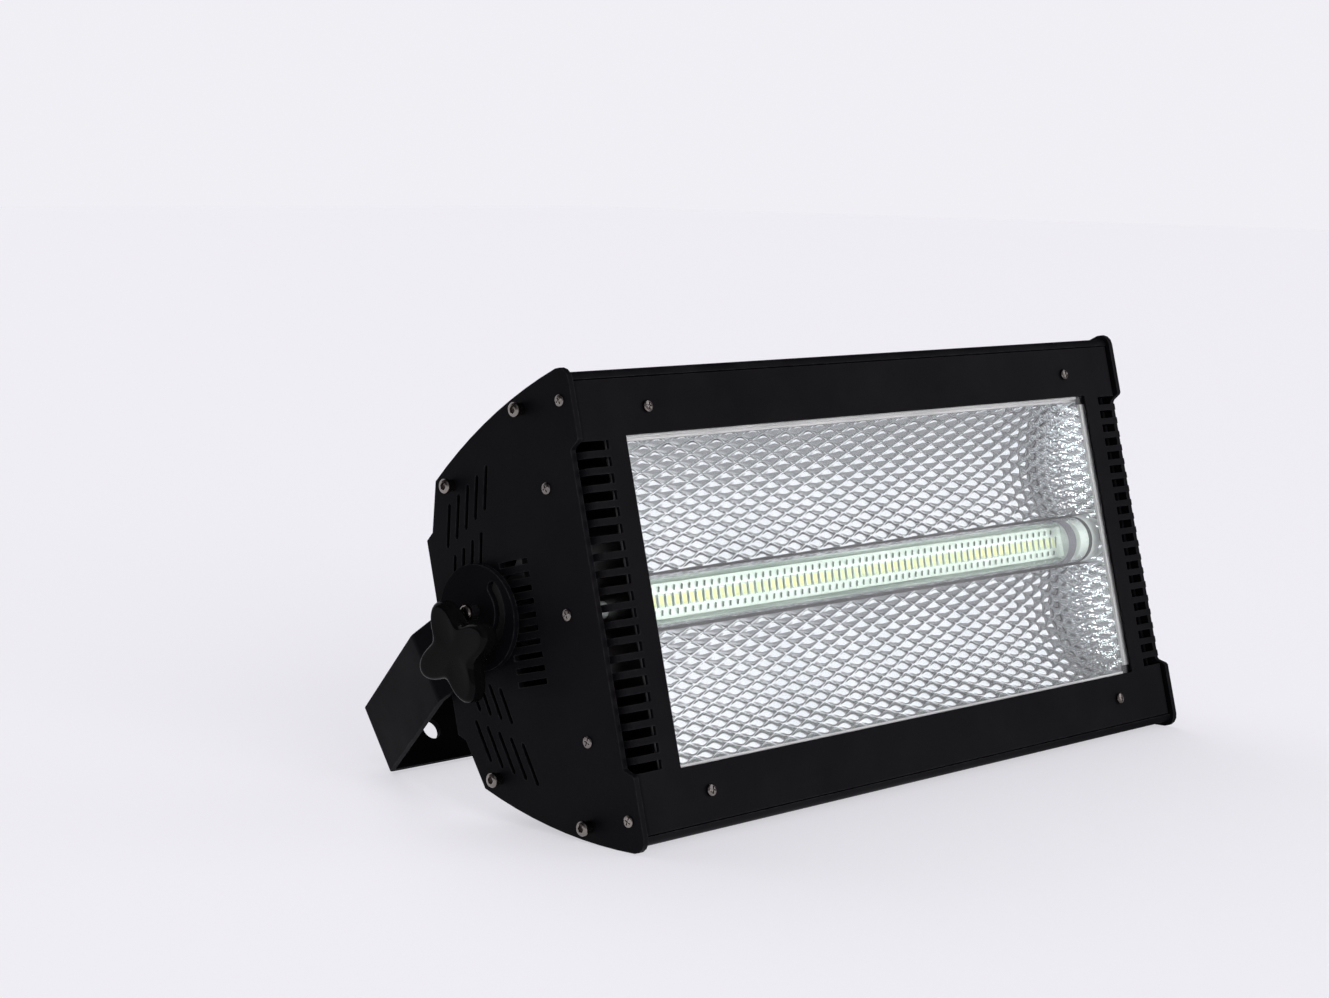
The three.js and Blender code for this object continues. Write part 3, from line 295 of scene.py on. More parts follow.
@dataclass(frozen=True)
class Finish:
    """One opaque finish: its colour, gloss, grain, worn edges and dust, with lengths in metres."""

    name: str
    colour: Colour
    shade: Colour
    gloss: Pair
    metallic: float = 0.0
    specular: float = 0.5
    worn: Colour = (0.1, 0.1, 0.1)
    wear_share: float = 0.0
    wear_radius: float = 0.0008
    dust_share: float = 0.0
    grain_scale: float = 900.0
    grain_depth: float = 0.00004
    cloud_scale: float = 22.0
    coat: float = 0.0
    streaked: bool = False

    def material(self, effects: Effects) -> bpy.types.Material:
        """Builds the finish's material.

        Args:
            effects: the shared node groups.

        Returns:
            The material.
        """
        made, graph, shader = started(self.name, self.colour)
        skin = {"Scale": self.grain_scale, "Low": self.gloss[0], "High": self.gloss[1]}
        grain = graph.add("Group", skin, node_tree=effects.grain).outputs
        height = grain["Height"]
        cloud = graph.ramp(graph.noise(self.cloud_scale, 5.0), 0.35, 0.65)
        colour = graph.blend(cloud, self.colour, self.shade)
        if self.streaked:
            streaks = graph.add("Group", node_tree=effects.streaks).outputs
            colour = graph.blend(graph.math("MULTIPLY", streaks["Mask"], 0.5), colour, self.shade)
            height = streaks["Height"]
        if self.wear_share:
            rub = {"Radius": self.wear_radius, "Share": self.wear_share}
            wear = graph.add("Group", rub, node_tree=effects.wear)
            colour = graph.blend(wear.outputs["Mask"], colour, self.worn)
        if self.dust_share:
            dust = graph.add("Group", {"Share": self.dust_share}, node_tree=effects.dust)
            colour = graph.blend(dust.outputs["Mask"], colour, DUST_COLOUR)
        graph.fill(shader.inputs, {
            "Base Color": colour, "Metallic": self.metallic, "Specular IOR Level": self.specular,
            "Coat Weight": self.coat, "Roughness": grain["Roughness"],
            "Normal": graph.bump(height, self.grain_depth)})
        return made


@dataclass(frozen=True)
class Glass:
    """Clear glass that lets light through to what lies behind it, with lengths in metres."""

    name: str
    colour: Colour
    index: float = 1.46
    smear: float = 0.01
    streak_depth: float = 0.0

    def material(self, effects: Effects) -> bpy.types.Material:
        """Builds the glass.

        Args:
            effects: the shared node groups.

        Returns:
            The material.
        """
        made, graph, shader = started(self.name, self.colour, 0.3)
        graph.fill(shader.inputs, {
            "Base Color": (*self.colour, 1.0), "Transmission Weight": 1.0, "IOR": self.index,
            "Roughness": graph.ramp(graph.noise(30.0, 4.0), 0.45, 0.8, 0.0, self.smear)})
        if self.streak_depth:
            lines = graph.add("Group", node_tree=effects.streaks).outputs["Height"]
            graph.fill(shader.inputs, {"Normal": graph.bump(lines, self.streak_depth)})
        passing = graph.add("BsdfTransparent", {0: (*self.colour, 1.0)})
        shadow = graph.add("LightPath").outputs["Is Shadow Ray"]
        mixed = graph.add("MixShader", {0: shadow, 1: shader.outputs[0], 2: passing.outputs[0]})
        graph.fill(graph.first("OUTPUT_MATERIAL").inputs, {"Surface": mixed.outputs[0]})
        return made


DUST_COLOUR: Colour = (0.3, 0.29, 0.28)
BLACK: Colour = (0.0032, 0.0028, 0.004)

COAT = Finish("black_powder_coat", BLACK, (0.0042, 0.0038, 0.005), (0.42, 0.56), specular=0.06,
              worn=(0.05, 0.05, 0.054), wear_share=0.5, dust_share=0.02)
YOKE_COAT = Finish("black_yoke_coat", BLACK, (0.0036, 0.0032, 0.0044), (0.5, 0.62), specular=0.02,
                   worn=(0.06, 0.06, 0.065), wear_share=0.6, dust_share=0.02)
KNOB_PLASTIC = Finish("black_knob_plastic", (0.002, 0.002, 0.0022), (0.003, 0.003, 0.0032), (0.1, 0.2),
                      specular=0.05, coat=0.02, grain_depth=0.000005, dust_share=0.01)
SOCKET_PLASTIC = Finish("black_socket_plastic", (0.01, 0.01, 0.011), (0.014, 0.014, 0.015), (0.35, 0.5),
                        worn=(0.04, 0.04, 0.04), wear_share=0.3)
RUBBER = Finish("black_rubber", (0.012, 0.012, 0.012), (0.02, 0.02, 0.02), (0.7, 0.9),
                grain_scale=1500.0, grain_depth=0.00008)
CLIP = Finish("dark_clip", (0.01, 0.009, 0.011), (0.018, 0.017, 0.02), (0.4, 0.55))
NICKEL = Finish("brown_nickel", (0.3, 0.27, 0.25), (0.2, 0.18, 0.17), (0.15, 0.28), metallic=1.0,
                worn=(0.75, 0.72, 0.68), wear_share=0.6, wear_radius=0.0004, grain_depth=0.00001)
STEEL = Finish("bare_steel", (0.5, 0.5, 0.5), (0.36, 0.36, 0.37), (0.25, 0.4), metallic=1.0,
               grain_depth=0.00001, streaked=True)
MIRROR = Finish("bright_embossed_sheet", (0.9, 0.92, 0.93), (0.84, 0.87, 0.885), (0.012, 0.03),
                metallic=1.0, grain_depth=0.000002)
# A pale copy of the reflector's sheet for its upper lip: painted light where light through the window
# falls on the lip
PALE_LEDGE_PAINTED_LIGHT = Finish("pale_ledge_sheet_painted_light", (0.66, 0.63, 0.64), (0.55, 0.53, 0.54), (0.3, 0.45),
                    grain_depth=0.00001)
# The reflector's grey metal sheet, made darker: painted shade inside the housing, seen through the
# bezel's slots
SHEET_BACK_PAINTED_SHADE = Finish("grey_sheet_back_painted_shade", (0.3, 0.29, 0.3), (0.2, 0.19, 0.2), (0.3, 0.45), metallic=1.0,
                    grain_depth=0.00001)
PALE_SEAL = Finish("pale_window_seal", (0.5, 0.49, 0.5), (0.42, 0.41, 0.42), (0.35, 0.5),
                   grain_depth=0.00001)
ALUMINIUM = Finish("mill_aluminium", (0.55, 0.56, 0.58), (0.45, 0.46, 0.48), (0.35, 0.5), metallic=1.0,
                   grain_depth=0.00002, streaked=True)
WHITE_BOARD = Finish("white_lamp_board", (0.88, 0.96, 0.9), (0.82, 0.92, 0.85), (0.35, 0.5))
GREEN_BOARD = Finish("green_circuit_board", (0.02, 0.11, 0.045), (0.03, 0.14, 0.06), (0.3, 0.45))
PHOSPHOR = Finish("yellow_emitters", (0.83, 0.8, 0.33), (0.72, 0.8, 0.42), (0.25, 0.4))
CHIP_FRAME = Finish("pale_emitter_frame", (0.85, 0.9, 0.84), (0.75, 0.84, 0.76), (0.3, 0.45))
CHIP_GAP = Finish("dark_emitter_gap", (0.03, 0.07, 0.045), (0.08, 0.13, 0.09), (0.4, 0.6))
TUBE_LINER = Finish("pale_tube_liner", (0.8, 0.9, 0.83), (0.55, 0.68, 0.6), (0.3, 0.45), streaked=True)
PALE_HOLDER = Finish("pale_tube_holder", (0.75, 0.8, 0.78), (0.65, 0.7, 0.68), (0.3, 0.45), coat=0.3)
BAND = Finish("grey_tube_band", (0.09, 0.09, 0.105), (0.12, 0.12, 0.14), (0.35, 0.5))
END_RING = Finish("dark_tube_ring", (0.008, 0.012, 0.011), (0.015, 0.02, 0.02), (0.2, 0.35))
RED_WIRE = Finish("red_wire_sleeve", (0.5, 0.02, 0.015), (0.4, 0.015, 0.012), (0.35, 0.45))
BLACK_WIRE = Finish("black_wire_sleeve", (0.015, 0.015, 0.015), (0.02, 0.02, 0.02), (0.35, 0.45))
SMOKED = Finish("smoked_display_pane", (0.02, 0.006, 0.006), (0.03, 0.008, 0.008), (0.06, 0.12),
                coat=0.5, grain_depth=0.000002)
WINDOW_GLASS = Glass("window_glass_clear", (0.985, 0.995, 0.99))
TUBE_GLASS = Glass("lamp_tube_glass", (0.985, 1.0, 0.99), streak_depth=0.00002)


# Meshes


def radians(degrees: Iterable[float]) -> list[float]:
    """Returns several angles in radians."""
    return [math.radians(angle) for angle in degrees]


def even_angles(count: int) -> list[float]:
    """Returns count angles round the circle in radians."""
    return [2 * math.pi * i / count for i in range(count)]


def ring(radii: Iterable[float], angles: Sequence[float], height: float) -> list[Point]:
    """Returns points round Z, each at its radius and its angle in radians, at one height."""
    return [(radius * math.cos(a), radius * math.sin(a), height) for radius, a in zip(radii, angles)]


def lofted(rings: Sequence[Sequence[Point]], round_again: bool = False) -> Mesh:
    """Joins rings of the same count with quads.

    Args:
        rings: the rings in order, each a closed loop of points.
        round_again: whether the last ring joins the first; otherwise both ends get a face.

    Returns:
        The closed mesh.
    """
    mesh = bmesh.new()
    loops = [[mesh.verts.new(point) for point in points] for points in rings]
    for low, high in zip(loops, [*loops[1:], loops[0]] if round_again else loops[1:]):
        count = len(low)
        for i in range(count):
            mesh.faces.new((low[i], low[(i + 1) % count], high[(i + 1) % count], high[i]))
    if not round_again:
        mesh.faces.new(list(reversed(loops[0])))
        mesh.faces.new(loops[-1])
    bmesh.ops.recalc_face_normals(mesh, faces=mesh.faces)
    return mesh


def eased_box(size: Point, ease: float) -> Mesh:
    """Makes a block about the origin with rounded edges.

    Args:
        size: its size along X, Y and Z.
        ease: how far each edge is rounded.

    Returns:
        The closed mesh.
    """
    mesh = bmesh.new()
    bmesh.ops.create_cube(mesh, size=1.0, matrix=Matrix.Diagonal((*size, 1.0)))
    bmesh.ops.bevel(mesh, geom=mesh.edges[:], offset=ease, segments=2, profile=0.5, affect="EDGES")
    return mesh


def swept(path: Sequence[Vector], radius: float, count: int = 10) -> Mesh:
    """Makes a round wire along a path.

    Args:
        path: the points that it follows.
        radius: the wire's radius.
        count: how many sides it has.

    Returns:
        The closed mesh.
    """
    rings = []
    for i, point in enumerate(path):
        ahead = (path[min(i + 1, len(path) - 1)] - path[max(i - 1, 0)]).normalized()
        side = ahead.cross(Vector((0.0, 0.0, 1.0))).normalized()
        above = side.cross(ahead)
        rings.append([tuple(point + radius * (math.cos(a) * side + math.sin(a) * above))
                      for a in even_angles(count)])
    return lofted(rings)


def smooth_path(points: Sequence[Point], steps: int = 8) -> list[Vector]:
    """Draws a smooth curve through points.

    Args:
        points: what it passes through.
        steps: how many stretches it has between two of them.

    Returns:
        The curve's points.
    """
    corners = [Vector(p) for p in points]
    ends = [2 * corners[0] - corners[1], *corners, 2 * corners[-1] - corners[-2]]
    path = []
    for before, here, after, beyond in zip(ends, ends[1:], ends[2:], ends[3:]):
        for t in (k / steps for k in range(steps)):
            bend = 2 * before - 5 * here + 4 * after - beyond
            twist = 3 * here - before - 3 * after + beyond
            path.append(0.5 * (2 * here + (after - before) * t + bend * t * t + twist * t ** 3))
    return [*path, corners[-1]]


def merged(parts: Iterable[tuple[Mesh, Matrix]]) -> Mesh:
    """Puts several meshes in one.

    Args:
        parts: each mesh, which is freed here, and what moves it.

    Returns:
        The joint mesh.
    """
    whole = bmesh.new()
    for part, place in parts:
        part.transform(place)
        held = bpy.data.meshes.new("held")
        part.to_mesh(held)
        part.free()
        whole.from_mesh(held)
        bpy.data.meshes.remove(held)
    return whole


def cut(mesh: Mesh, axis: int, limit: float, way: int) -> None:
    """Cuts off what lies beyond a limit.

    Args:
        mesh: the mesh.
        axis: 0, 1 or 2, for X, Y or Z.
        limit: where the cut is along the axis.
        way: 1 to cut off what is above it, -1 to cut off what is below.
    """
    normal = Vector((0.0, 0.0, 0.0))
    normal[axis] = way
    bmesh.ops.bisect_plane(mesh, geom=[*mesh.verts, *mesh.edges, *mesh.faces], dist=0.001,
                           plane_co=limit * way * normal, plane_no=normal, clear_outer=True)


def shown(name: str, data: bpy.types.ID | Mesh) -> bpy.types.Object:
    """Puts a new object in the scene.

    Args:
        name: its name.
        data: a camera, a lamp, or a mesh, which is freed here.

    Returns:
        The object.
    """
    if isinstance(data, Mesh):
        mesh, data = data, bpy.data.meshes.new(name)
        mesh.to_mesh(data)
        mesh.free()
    thing = bpy.data.objects.new(name, data)
    bpy.context.scene.collection.objects.link(thing)
    return thing


# Workshop


@dataclass
class Workshop:
    """Holds the frame and puts finished pieces on its bodies."""

    frame: dict[str, Any]
    effects: Effects
    tilt_deg: float = 14.15
    pivot: Point = (0.0, 77.0, 9.0)
    sharp_deg: float = 50.0
    weld: float = 0.002
    flat_deg: float = 0.3
    fold_deg: float = 28.0
    crisp_deg: float = 32.0
    head: Matrix = field(init=False)

    def __post_init__(self) -> None:
        """Finds the head's axes from the yoke's joint."""
        swing = next(j for j in self.frame["joints"] if j["name"] == "yoke_swing")
        turn = Matrix.Rotation(-math.radians(self.tilt_deg), 4, "X")
        origin = Vector(swing["pos_m"]) - (turn @ Vector(self.pivot)) * MM
        self.head = Matrix.Translation(origin) @ turn @ Matrix.Scale(MM, 4)

    def look(self, finish: Finish | Glass) -> bpy.types.Material:
        """Returns the finish's material, which is built once."""
        return bpy.data.materials.get(finish.name) or finish.material(self.effects)

    def place(self, name: str, mesh: Mesh, finish: Finish | Glass, slot: Slot, *nodes: str,
              body: str = "head", where: Matrix | None = None) -> None:
        """Makes an object of a mesh, dresses it and puts it on its body.

        Args:
            name: the piece's name.
            mesh: its shape, which is freed here.
            finish: its finish.
            slot: the record's slot for the finish; not used.
            nodes: the CAD nodes that it stands for.
            body: the CAD body that it moves with.
            where: what takes the mesh to the row frame; the head's axes unless given.
        """
        mesh.transform(self.head if where is None else where)
        bmesh.ops.recalc_face_normals(mesh, faces=mesh.faces)
        piece = shown(name, mesh)
        piece.data.shade_smooth()
        piece.data.set_sharp_from_angle(angle=math.radians(self.sharp_deg))
        piece.data.materials.append(self.look(finish))
        piece.modifiers.new("even_normals", "WEIGHTED_NORMAL").keep_sharp = True
        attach(piece, body)
        if nodes:
            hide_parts(*nodes)
        LOG.info("%s: %d faces on %s", name, len(piece.data.polygons), body)

    def softened(self, node: str, finish: Finish | Glass, slot: Slot, ease: float = 0.35,
                 body: str = "head") -> None:
        """Stands for a CAD node with the same shape with eased edges.

        Args:
            node: the CAD node's name.
            finish: its finish.
            slot: the record's slot.
            ease: how wide each edge is rounded.
            body: the CAD body that it moves with.
        """
        mesh = bmesh.new()
        mesh.from_mesh(self.frame["nodes"][node].data)
        bmesh.ops.remove_doubles(mesh, verts=mesh.verts, dist=self.weld * MM)
        bmesh.ops.dissolve_limit(mesh, angle_limit=math.radians(self.flat_deg), verts=mesh.verts,
                                 edges=mesh.edges)
        fold = math.radians(self.fold_deg)
        sharp = [edge for edge in mesh.edges if edge.is_manifold and edge.calc_face_angle(0.0) > fold]
        bmesh.ops.bevel(mesh, geom=sharp, offset=ease * MM, segments=2, profile=0.6, affect="EDGES",
                        clamp_overlap=True)
        self.place(f"{node}_body", mesh, finish, slot, node, body=body, where=Matrix.Identity(4))

    def dress(self, node: str, finish: Finish) -> None:
        """Gives a CAD node that stays its finish and crisp edges.

        Args:
            node: the CAD node's name.
            finish: its finish.
        """
        piece = self.frame["nodes"][node]
        piece.data.materials.clear()
        piece.data.materials.append(self.look(finish))
        piece.modifiers.new("crisp_edges", "EDGE_SPLIT").split_angle = math.radians(self.crisp_deg)
        LOG.info("%s: CAD shape kept, %s", node, finish.name)

    def at(self, x: float, y: float, z: float) -> Matrix:
        """Returns what puts a mesh at a point of the head."""
        return self.head @ Matrix.Translation((x, y, z))

    def outward(self, side: int, x: float, y: float, z: float) -> Matrix:
        """Returns what puts a mesh drawn along +Z on the head's side, looking outward."""
        return self.at(side * x, y, z) @ Matrix.Rotation(side * math.pi / 2, 4, "Y")

    def forward(self, x: float, y: float, z: float) -> Matrix:
        """Returns what puts a mesh drawn along +Z on the head's front, looking forward."""
        return self.at(x, y, z) @ Matrix.Rotation(math.pi / 2, 4, "X")


@dataclass
class Assembly:
    """A sub-assembly, which its build method makes in a workshop."""

    shop: Workshop


# Sub-assemblies of the head


@dataclass
class HeadShell(Assembly):
    """The folded sheet shell: bezel, end plates, covers and rear panel, with the window in front."""

    window_half: Pair = (180.0, 76.0)
    clip_size: Point = (10.0, 1.6, 5.2)
    clip_ease: float = 0.3
    clip_y: float = 5.47
    clip_reach: Pair = (6.5, 1.0)

    def build(self) -> None:
        """Builds and dresses the shell."""
        for node in ("front_bezel", "left_end_plate", "right_end_plate", "top_cover", "bottom_cover",
                     "rear_panel"):
            self.shop.softened(node, COAT, Slot.SHELL)
        self.shop.softened("window_glass", WINDOW_GLASS, Slot.GLASS)
        self.shop.dress("window_seal", PALE_SEAL)
        self.clips()

    def clips(self) -> None:
        """Adds the four small dark clips at the window's corners, behind the glass."""
        x = self.window_half[0] - self.clip_size[0] / 2 + self.clip_reach[0]
        z = self.window_half[1] - self.clip_size[2] / 2 + self.clip_reach[1]
        for (side_name, side), (level_name, level) in product(SIDES.items(), LEVELS.items()):
            clip = eased_box(self.clip_size, self.clip_ease)
            self.shop.place(f"{side_name}_{level_name}_window_clip", clip, CLIP, Slot.PLASTIC,
                            where=self.shop.at(side * x, self.clip_y, level * z))


@dataclass
class FacetedReflector(Assembly):
    """The embossed sheet behind the glass: two curved troughs and two end walls of diamond cushions."""

    cell: Pair = (17.0, 6.8)
    cell_start: Pair = (5.9, -0.6)
    pad_height: float = 0.85
    pad_curves: Pair = (0.055, 0.11)
    pad_edge: Pair = (0.66, 0.98)
    pad_shares: tuple[float, ...] = (0.35, 0.7, 0.84, 0.98, 1.0)
    weld: float = 0.01
    deepest: Pair = (32.0, 36.0)
    sag: float = 0.0056
    trough_steps: int = 160
    mouth_z: float = 76.3
    channel_z: float = 13.6
    half_length: float = 186.4
    wall_y: Pair = (6.6, 31.8)
    sheet: float = 0.3
    lift: float = 0.45
    ledge_size: Point = (366.0, 3.0, 2.4)
    ledge_ease: float = 0.3
    ledge_place: Point = (0.0, 11.2, 75.3)

    def cushion(self, first: float, second: float) -> Point:
        """Finds a point of one cushion from its middle.

        Args:
            first: the share of the way to one pair of grooves, from -1 to 1.
            second: the share of the way to the other pair.

        Returns:
            The point, with a height of 0 in the grooves.
        """
        x, y = self.cell[0] * (first + second) / 4, self.cell[1] * (first - second) / 4
        drop = (self.pad_curves[0] * x * x + self.pad_curves[1] * y * y) / 2
        height = self.pad_height * math.exp(-drop / self.pad_height)
        start, end = self.pad_edge
        for share in (first, second):
            part = min(max((end - abs(share)) / (end - start), 0.0), 1.0)
            height *= part * part * (3 - 2 * part)
        return x, y, height

    def embossed(self, length: Pair, height: Pair) -> Mesh:
        """Makes a flat embossed sheet.

        Args:
            length: where it starts and ends along X.
            height: where it starts and ends along Y.

        Returns:
            The closed mesh, with the cushions towards +Z.
        """
        mesh = bmesh.new()
        halves = [size / 2 for size in self.cell]
        spans = zip((length, height), self.cell_start, halves)
        counts = [range(math.floor((low - start) / half) - 1, math.ceil((high - start) / half) + 2)
                  for (low, high), start, half in spans]
        shares = [-share for share in reversed(self.pad_shares)] + [0.0, *self.pad_shares]
        pad = [[self.cushion(p, q) for q in shares] for p in shares]
        for places in product(*counts):
            if sum(places) % 2:
                continue
            x, y = (start + half * k for start, half, k in zip(self.cell_start, halves, places))
            grid = [[mesh.verts.new((x + u, y + v, w)) for u, v, w in line] for line in pad]
            for near, far in zip(grid, grid[1:]):
                for k in range(len(shares) - 1):
                    mesh.faces.new((near[k], near[k + 1], far[k + 1], far[k]))
        bmesh.ops.remove_doubles(mesh, verts=mesh.verts, dist=self.weld)
        for axis, (low, high) in enumerate((length, height)):
            cut(mesh, axis, low, -1)
            cut(mesh, axis, high, 1)
        back = mesh.verts[:]
        bmesh.ops.extrude_face_region(mesh, geom=mesh.faces[:], use_keep_orig=True)
        for vert in back:
            vert.co.z = -self.sheet
        return mesh

    def trough_line(self) -> list[Point]:
        """Follows one trough from its mouth to the channel.

        Returns:
            Its points as (distance along the sheet, Y, Z).
        """
        line: list[Point] = []
        for k in range(self.trough_steps + 1):
            z = self.mouth_z + (self.channel_z - self.mouth_z) * k / self.trough_steps
            y = self.deepest[0] - self.sag * (z - self.deepest[1]) ** 2
            travelled = line[-1][0] + math.hypot(y - line[-1][1], z - line[-1][2]) if line else 0.0
            line.append((travelled, y, z))
        return line

    def trough(self, level: int) -> Mesh:
        """Bends an embossed sheet to a trough.

        Args:
            level: 1 for the upper trough, -1 for the lower.

        Returns:
            The mesh in the head's axes.
        """
        line = self.trough_line()
        starts = [point[0] for point in line]
        mesh = self.embossed((-self.half_length, self.half_length), (0.0, starts[-1]))
        for vert in mesh.verts:
            x, along, height = vert.co
            k = min(max(bisect_left(starts, along) - 1, 0), len(line) - 2)
            (s0, y0, z0), (s1, y1, z1) = line[k], line[k + 1]
            share = (along - s0) / (s1 - s0)
            ahead_y, ahead_z = (y1 - y0) / (s1 - s0), (z1 - z0) / (s1 - s0)
            y = y0 + (y1 - y0) * share + (height + self.lift) * ahead_z
            z = z0 + (z1 - z0) * share - (height + self.lift) * ahead_y
            vert.co = (x, y, level * z)
        return mesh

    def end_wall(self, side: int) -> Mesh:
        """Stands an embossed sheet up as an end wall, looking inward.

        Args:
            side: -1 for the left wall, 1 for the right.

        Returns:
            The mesh in the head's axes.
        """
        mesh = self.embossed(self.wall_y, (-self.mouth_z, self.mouth_z))
        for vert in mesh.verts:
            y, z, height = vert.co
            vert.co = (side * (self.half_length + self.sheet - height), y, z)
        return mesh

    def build(self) -> None:
        """Builds and dresses the reflector."""
        for name, level in LEVELS.items():
            self.shop.place(f"{name}_embossed_trough", self.trough(level), MIRROR, Slot.REFLECTOR)
        for name, side in SIDES.items():
            self.shop.place(f"{name}_embossed_end", self.end_wall(side), MIRROR, Slot.REFLECTOR)
            # grey metal darkened with painted shade, where the sheet sits in the housing's shade
            self.shop.dress(f"{name}_reflector_end", SHEET_BACK_PAINTED_SHADE)
        # grey metal darkened with painted shade, where the sheet sits in the housing's shade
        self.shop.dress("reflector", SHEET_BACK_PAINTED_SHADE)
        # a pale strip over the reflector's upper lip: painted light where light through the window
        # falls on it
        self.shop.place("upper_window_ledge", eased_box(self.ledge_size, self.ledge_ease), PALE_LEDGE_PAINTED_LIGHT,
                        Slot.REFLECTOR, where=self.shop.at(*self.ledge_place))


@dataclass(frozen=True)
class Block:
    """One of a row of small blocks: its size, rounding, lean, and rise from the lamp's board."""

    size: Point
    ease: float
    rise: float
    slant_deg: float = 0.0


@dataclass
class LampTube(Assembly):
    """The clear lamp tube with its board, its row of emitters and its two holders."""

    axis_y: float = 25.0
    radius: float = 12.4
    wall: float = 1.2
    half_length: float = 177.5
    sides: int = 72
    ease: float = 0.3
    ring_width: float = 2.4
    ring_rise: float = 0.3
    band_span: Pair = (158.0, 165.0)
    band_gaps: Pair = (0.12, 0.04)
    band_ease: float = 0.02
    liner_gap: float = 0.1
    liner_sheet: float = 0.4
    liner_half: float = 176.0
    liner_ease: float = 0.05
    holder_ease: float = 0.4
    board_ease: float = 0.2
    board_front_y: float = 26.2
    emitter_count: int = 62
    emitter_pitch: float = 5.27
    frame: Block = Block((3.4, 5.9, 0.7), 0.2, 0.7)
    face: Block = Block((2.5, 4.9, 0.3), 0.1, 0.85)
    gap: Block = Block((1.1, 6.3, 0.25), 0.08, 0.55, 16.0)
    pad: Block = Block((1.0, 2.6, 0.3), 0.1, 0.3, 16.0)
    pad_z: float = 5.6

    def pipe(self, outer: float, inner: float, span: Pair, ease: float) -> Mesh:
        """Makes a tube or ring about the lamp's axis.

        Args:
            outer: the outside radius.
            inner: the inside radius.
            span: where it starts and ends along X.
            ease: how far each edge is eased.

        Returns:
            The closed mesh in the head's axes.
        """
        low, high = span
        profile = [(outer - ease, low), (outer, low + ease), (outer, high - ease), (outer - ease, high),
                   (inner + ease, high), (inner, high - ease), (inner, low + ease), (inner + ease, low)]
        angles = even_angles(self.sides)
        mesh = lofted([ring(repeat(radius), angles, height) for radius, height in profile], True)
        mesh.transform(Matrix.Rotation(math.pi / 2, 4, "Y"))
        mesh.transform(Matrix.Translation((0.0, self.axis_y, 0.0)))
        return mesh

    def liner(self) -> Mesh:
        """Makes the pale sheet curled round the board's back, inside the glass.

        Returns:
            The closed mesh in the head's axes.
        """
        outer = self.radius - self.wall - self.liner_gap
        span = (-self.liner_half, self.liner_half)
        mesh = self.pipe(outer, outer - self.liner_sheet, span, self.liner_ease)
        cut(mesh, 1, self.board_front_y, -1)
        bmesh.ops.holes_fill(mesh, edges=[edge for edge in mesh.edges if edge.is_boundary])
        return mesh

    def row(self, block: Block, z: float = 0.0, shift: float = 0.0) -> Mesh:
        """Makes a row of blocks on the board, one for each emitter.

        Args:
            block: the block that is repeated.
            z: the row's height.
            shift: how far the row is moved along X.

        Returns:
            The blocks as one mesh in the head's axes.
        """
        width, height, thickness = block.size
        y = self.board_front_y - block.rise + thickness / 2
        lean = Matrix.Rotation(math.radians(block.slant_deg), 4, "Y")
        parts = []
        for i in range(self.emitter_count):
            x = (i - (self.emitter_count - 1) / 2) * self.emitter_pitch + shift
            box = eased_box((width, thickness, height), block.ease)
            parts.append((box, Matrix.Translation((x, y, z)) @ lean))
        return merged(parts)

    def build(self) -> None:
        """Builds and dresses the lamp."""
        shop, bore = self.shop, self.radius - self.wall
        tube = self.pipe(self.radius, bore, (-self.half_length, self.half_length), self.ease)
        shop.place("lamp_tube_glass", tube, TUBE_GLASS, Slot.GLASS, "glass_tube")
        shop.place("lamp_tube_liner", self.liner(), TUBE_LINER, Slot.BOARD_WHITE)
        outer, inner = (self.radius + gap for gap in self.band_gaps)
        band = self.pipe(outer, inner, self.band_span, self.band_ease)
        shop.place("lamp_tube_band", band, BAND, Slot.BOARD_WHITE)
        for name, side in SIDES.items():
            start = side * self.half_length - (self.ring_width if side < 0 else 0.0)
            span = (start, start + self.ring_width)
            cap = self.pipe(self.radius + self.ring_rise, bore, span, self.ease)
            shop.place(f"{name}_tube_end_ring", cap, END_RING, Slot.RUBBER)
            shop.softened(f"{name}_tube_holder", PALE_HOLDER, Slot.HOLDER, self.holder_ease)
        shop.softened("lamp_board", WHITE_BOARD, Slot.BOARD_WHITE, self.board_ease)
        shop.place("emitter_frames", self.row(self.frame), CHIP_FRAME, Slot.BOARD_WHITE, "led_row")
        shop.place("emitter_faces", self.row(self.face), PHOSPHOR, Slot.PHOSPHOR)
        gaps = self.row(self.gap, shift=self.emitter_pitch / 2)
        shop.place("emitter_gaps", gaps, CHIP_GAP, Slot.BOARD_WHITE)
        for name, level in LEVELS.items():
            pads = self.row(self.pad, level * self.pad_z)
            shop.place(f"{name}_board_pads", pads, CHIP_GAP, Slot.BOARD_WHITE)


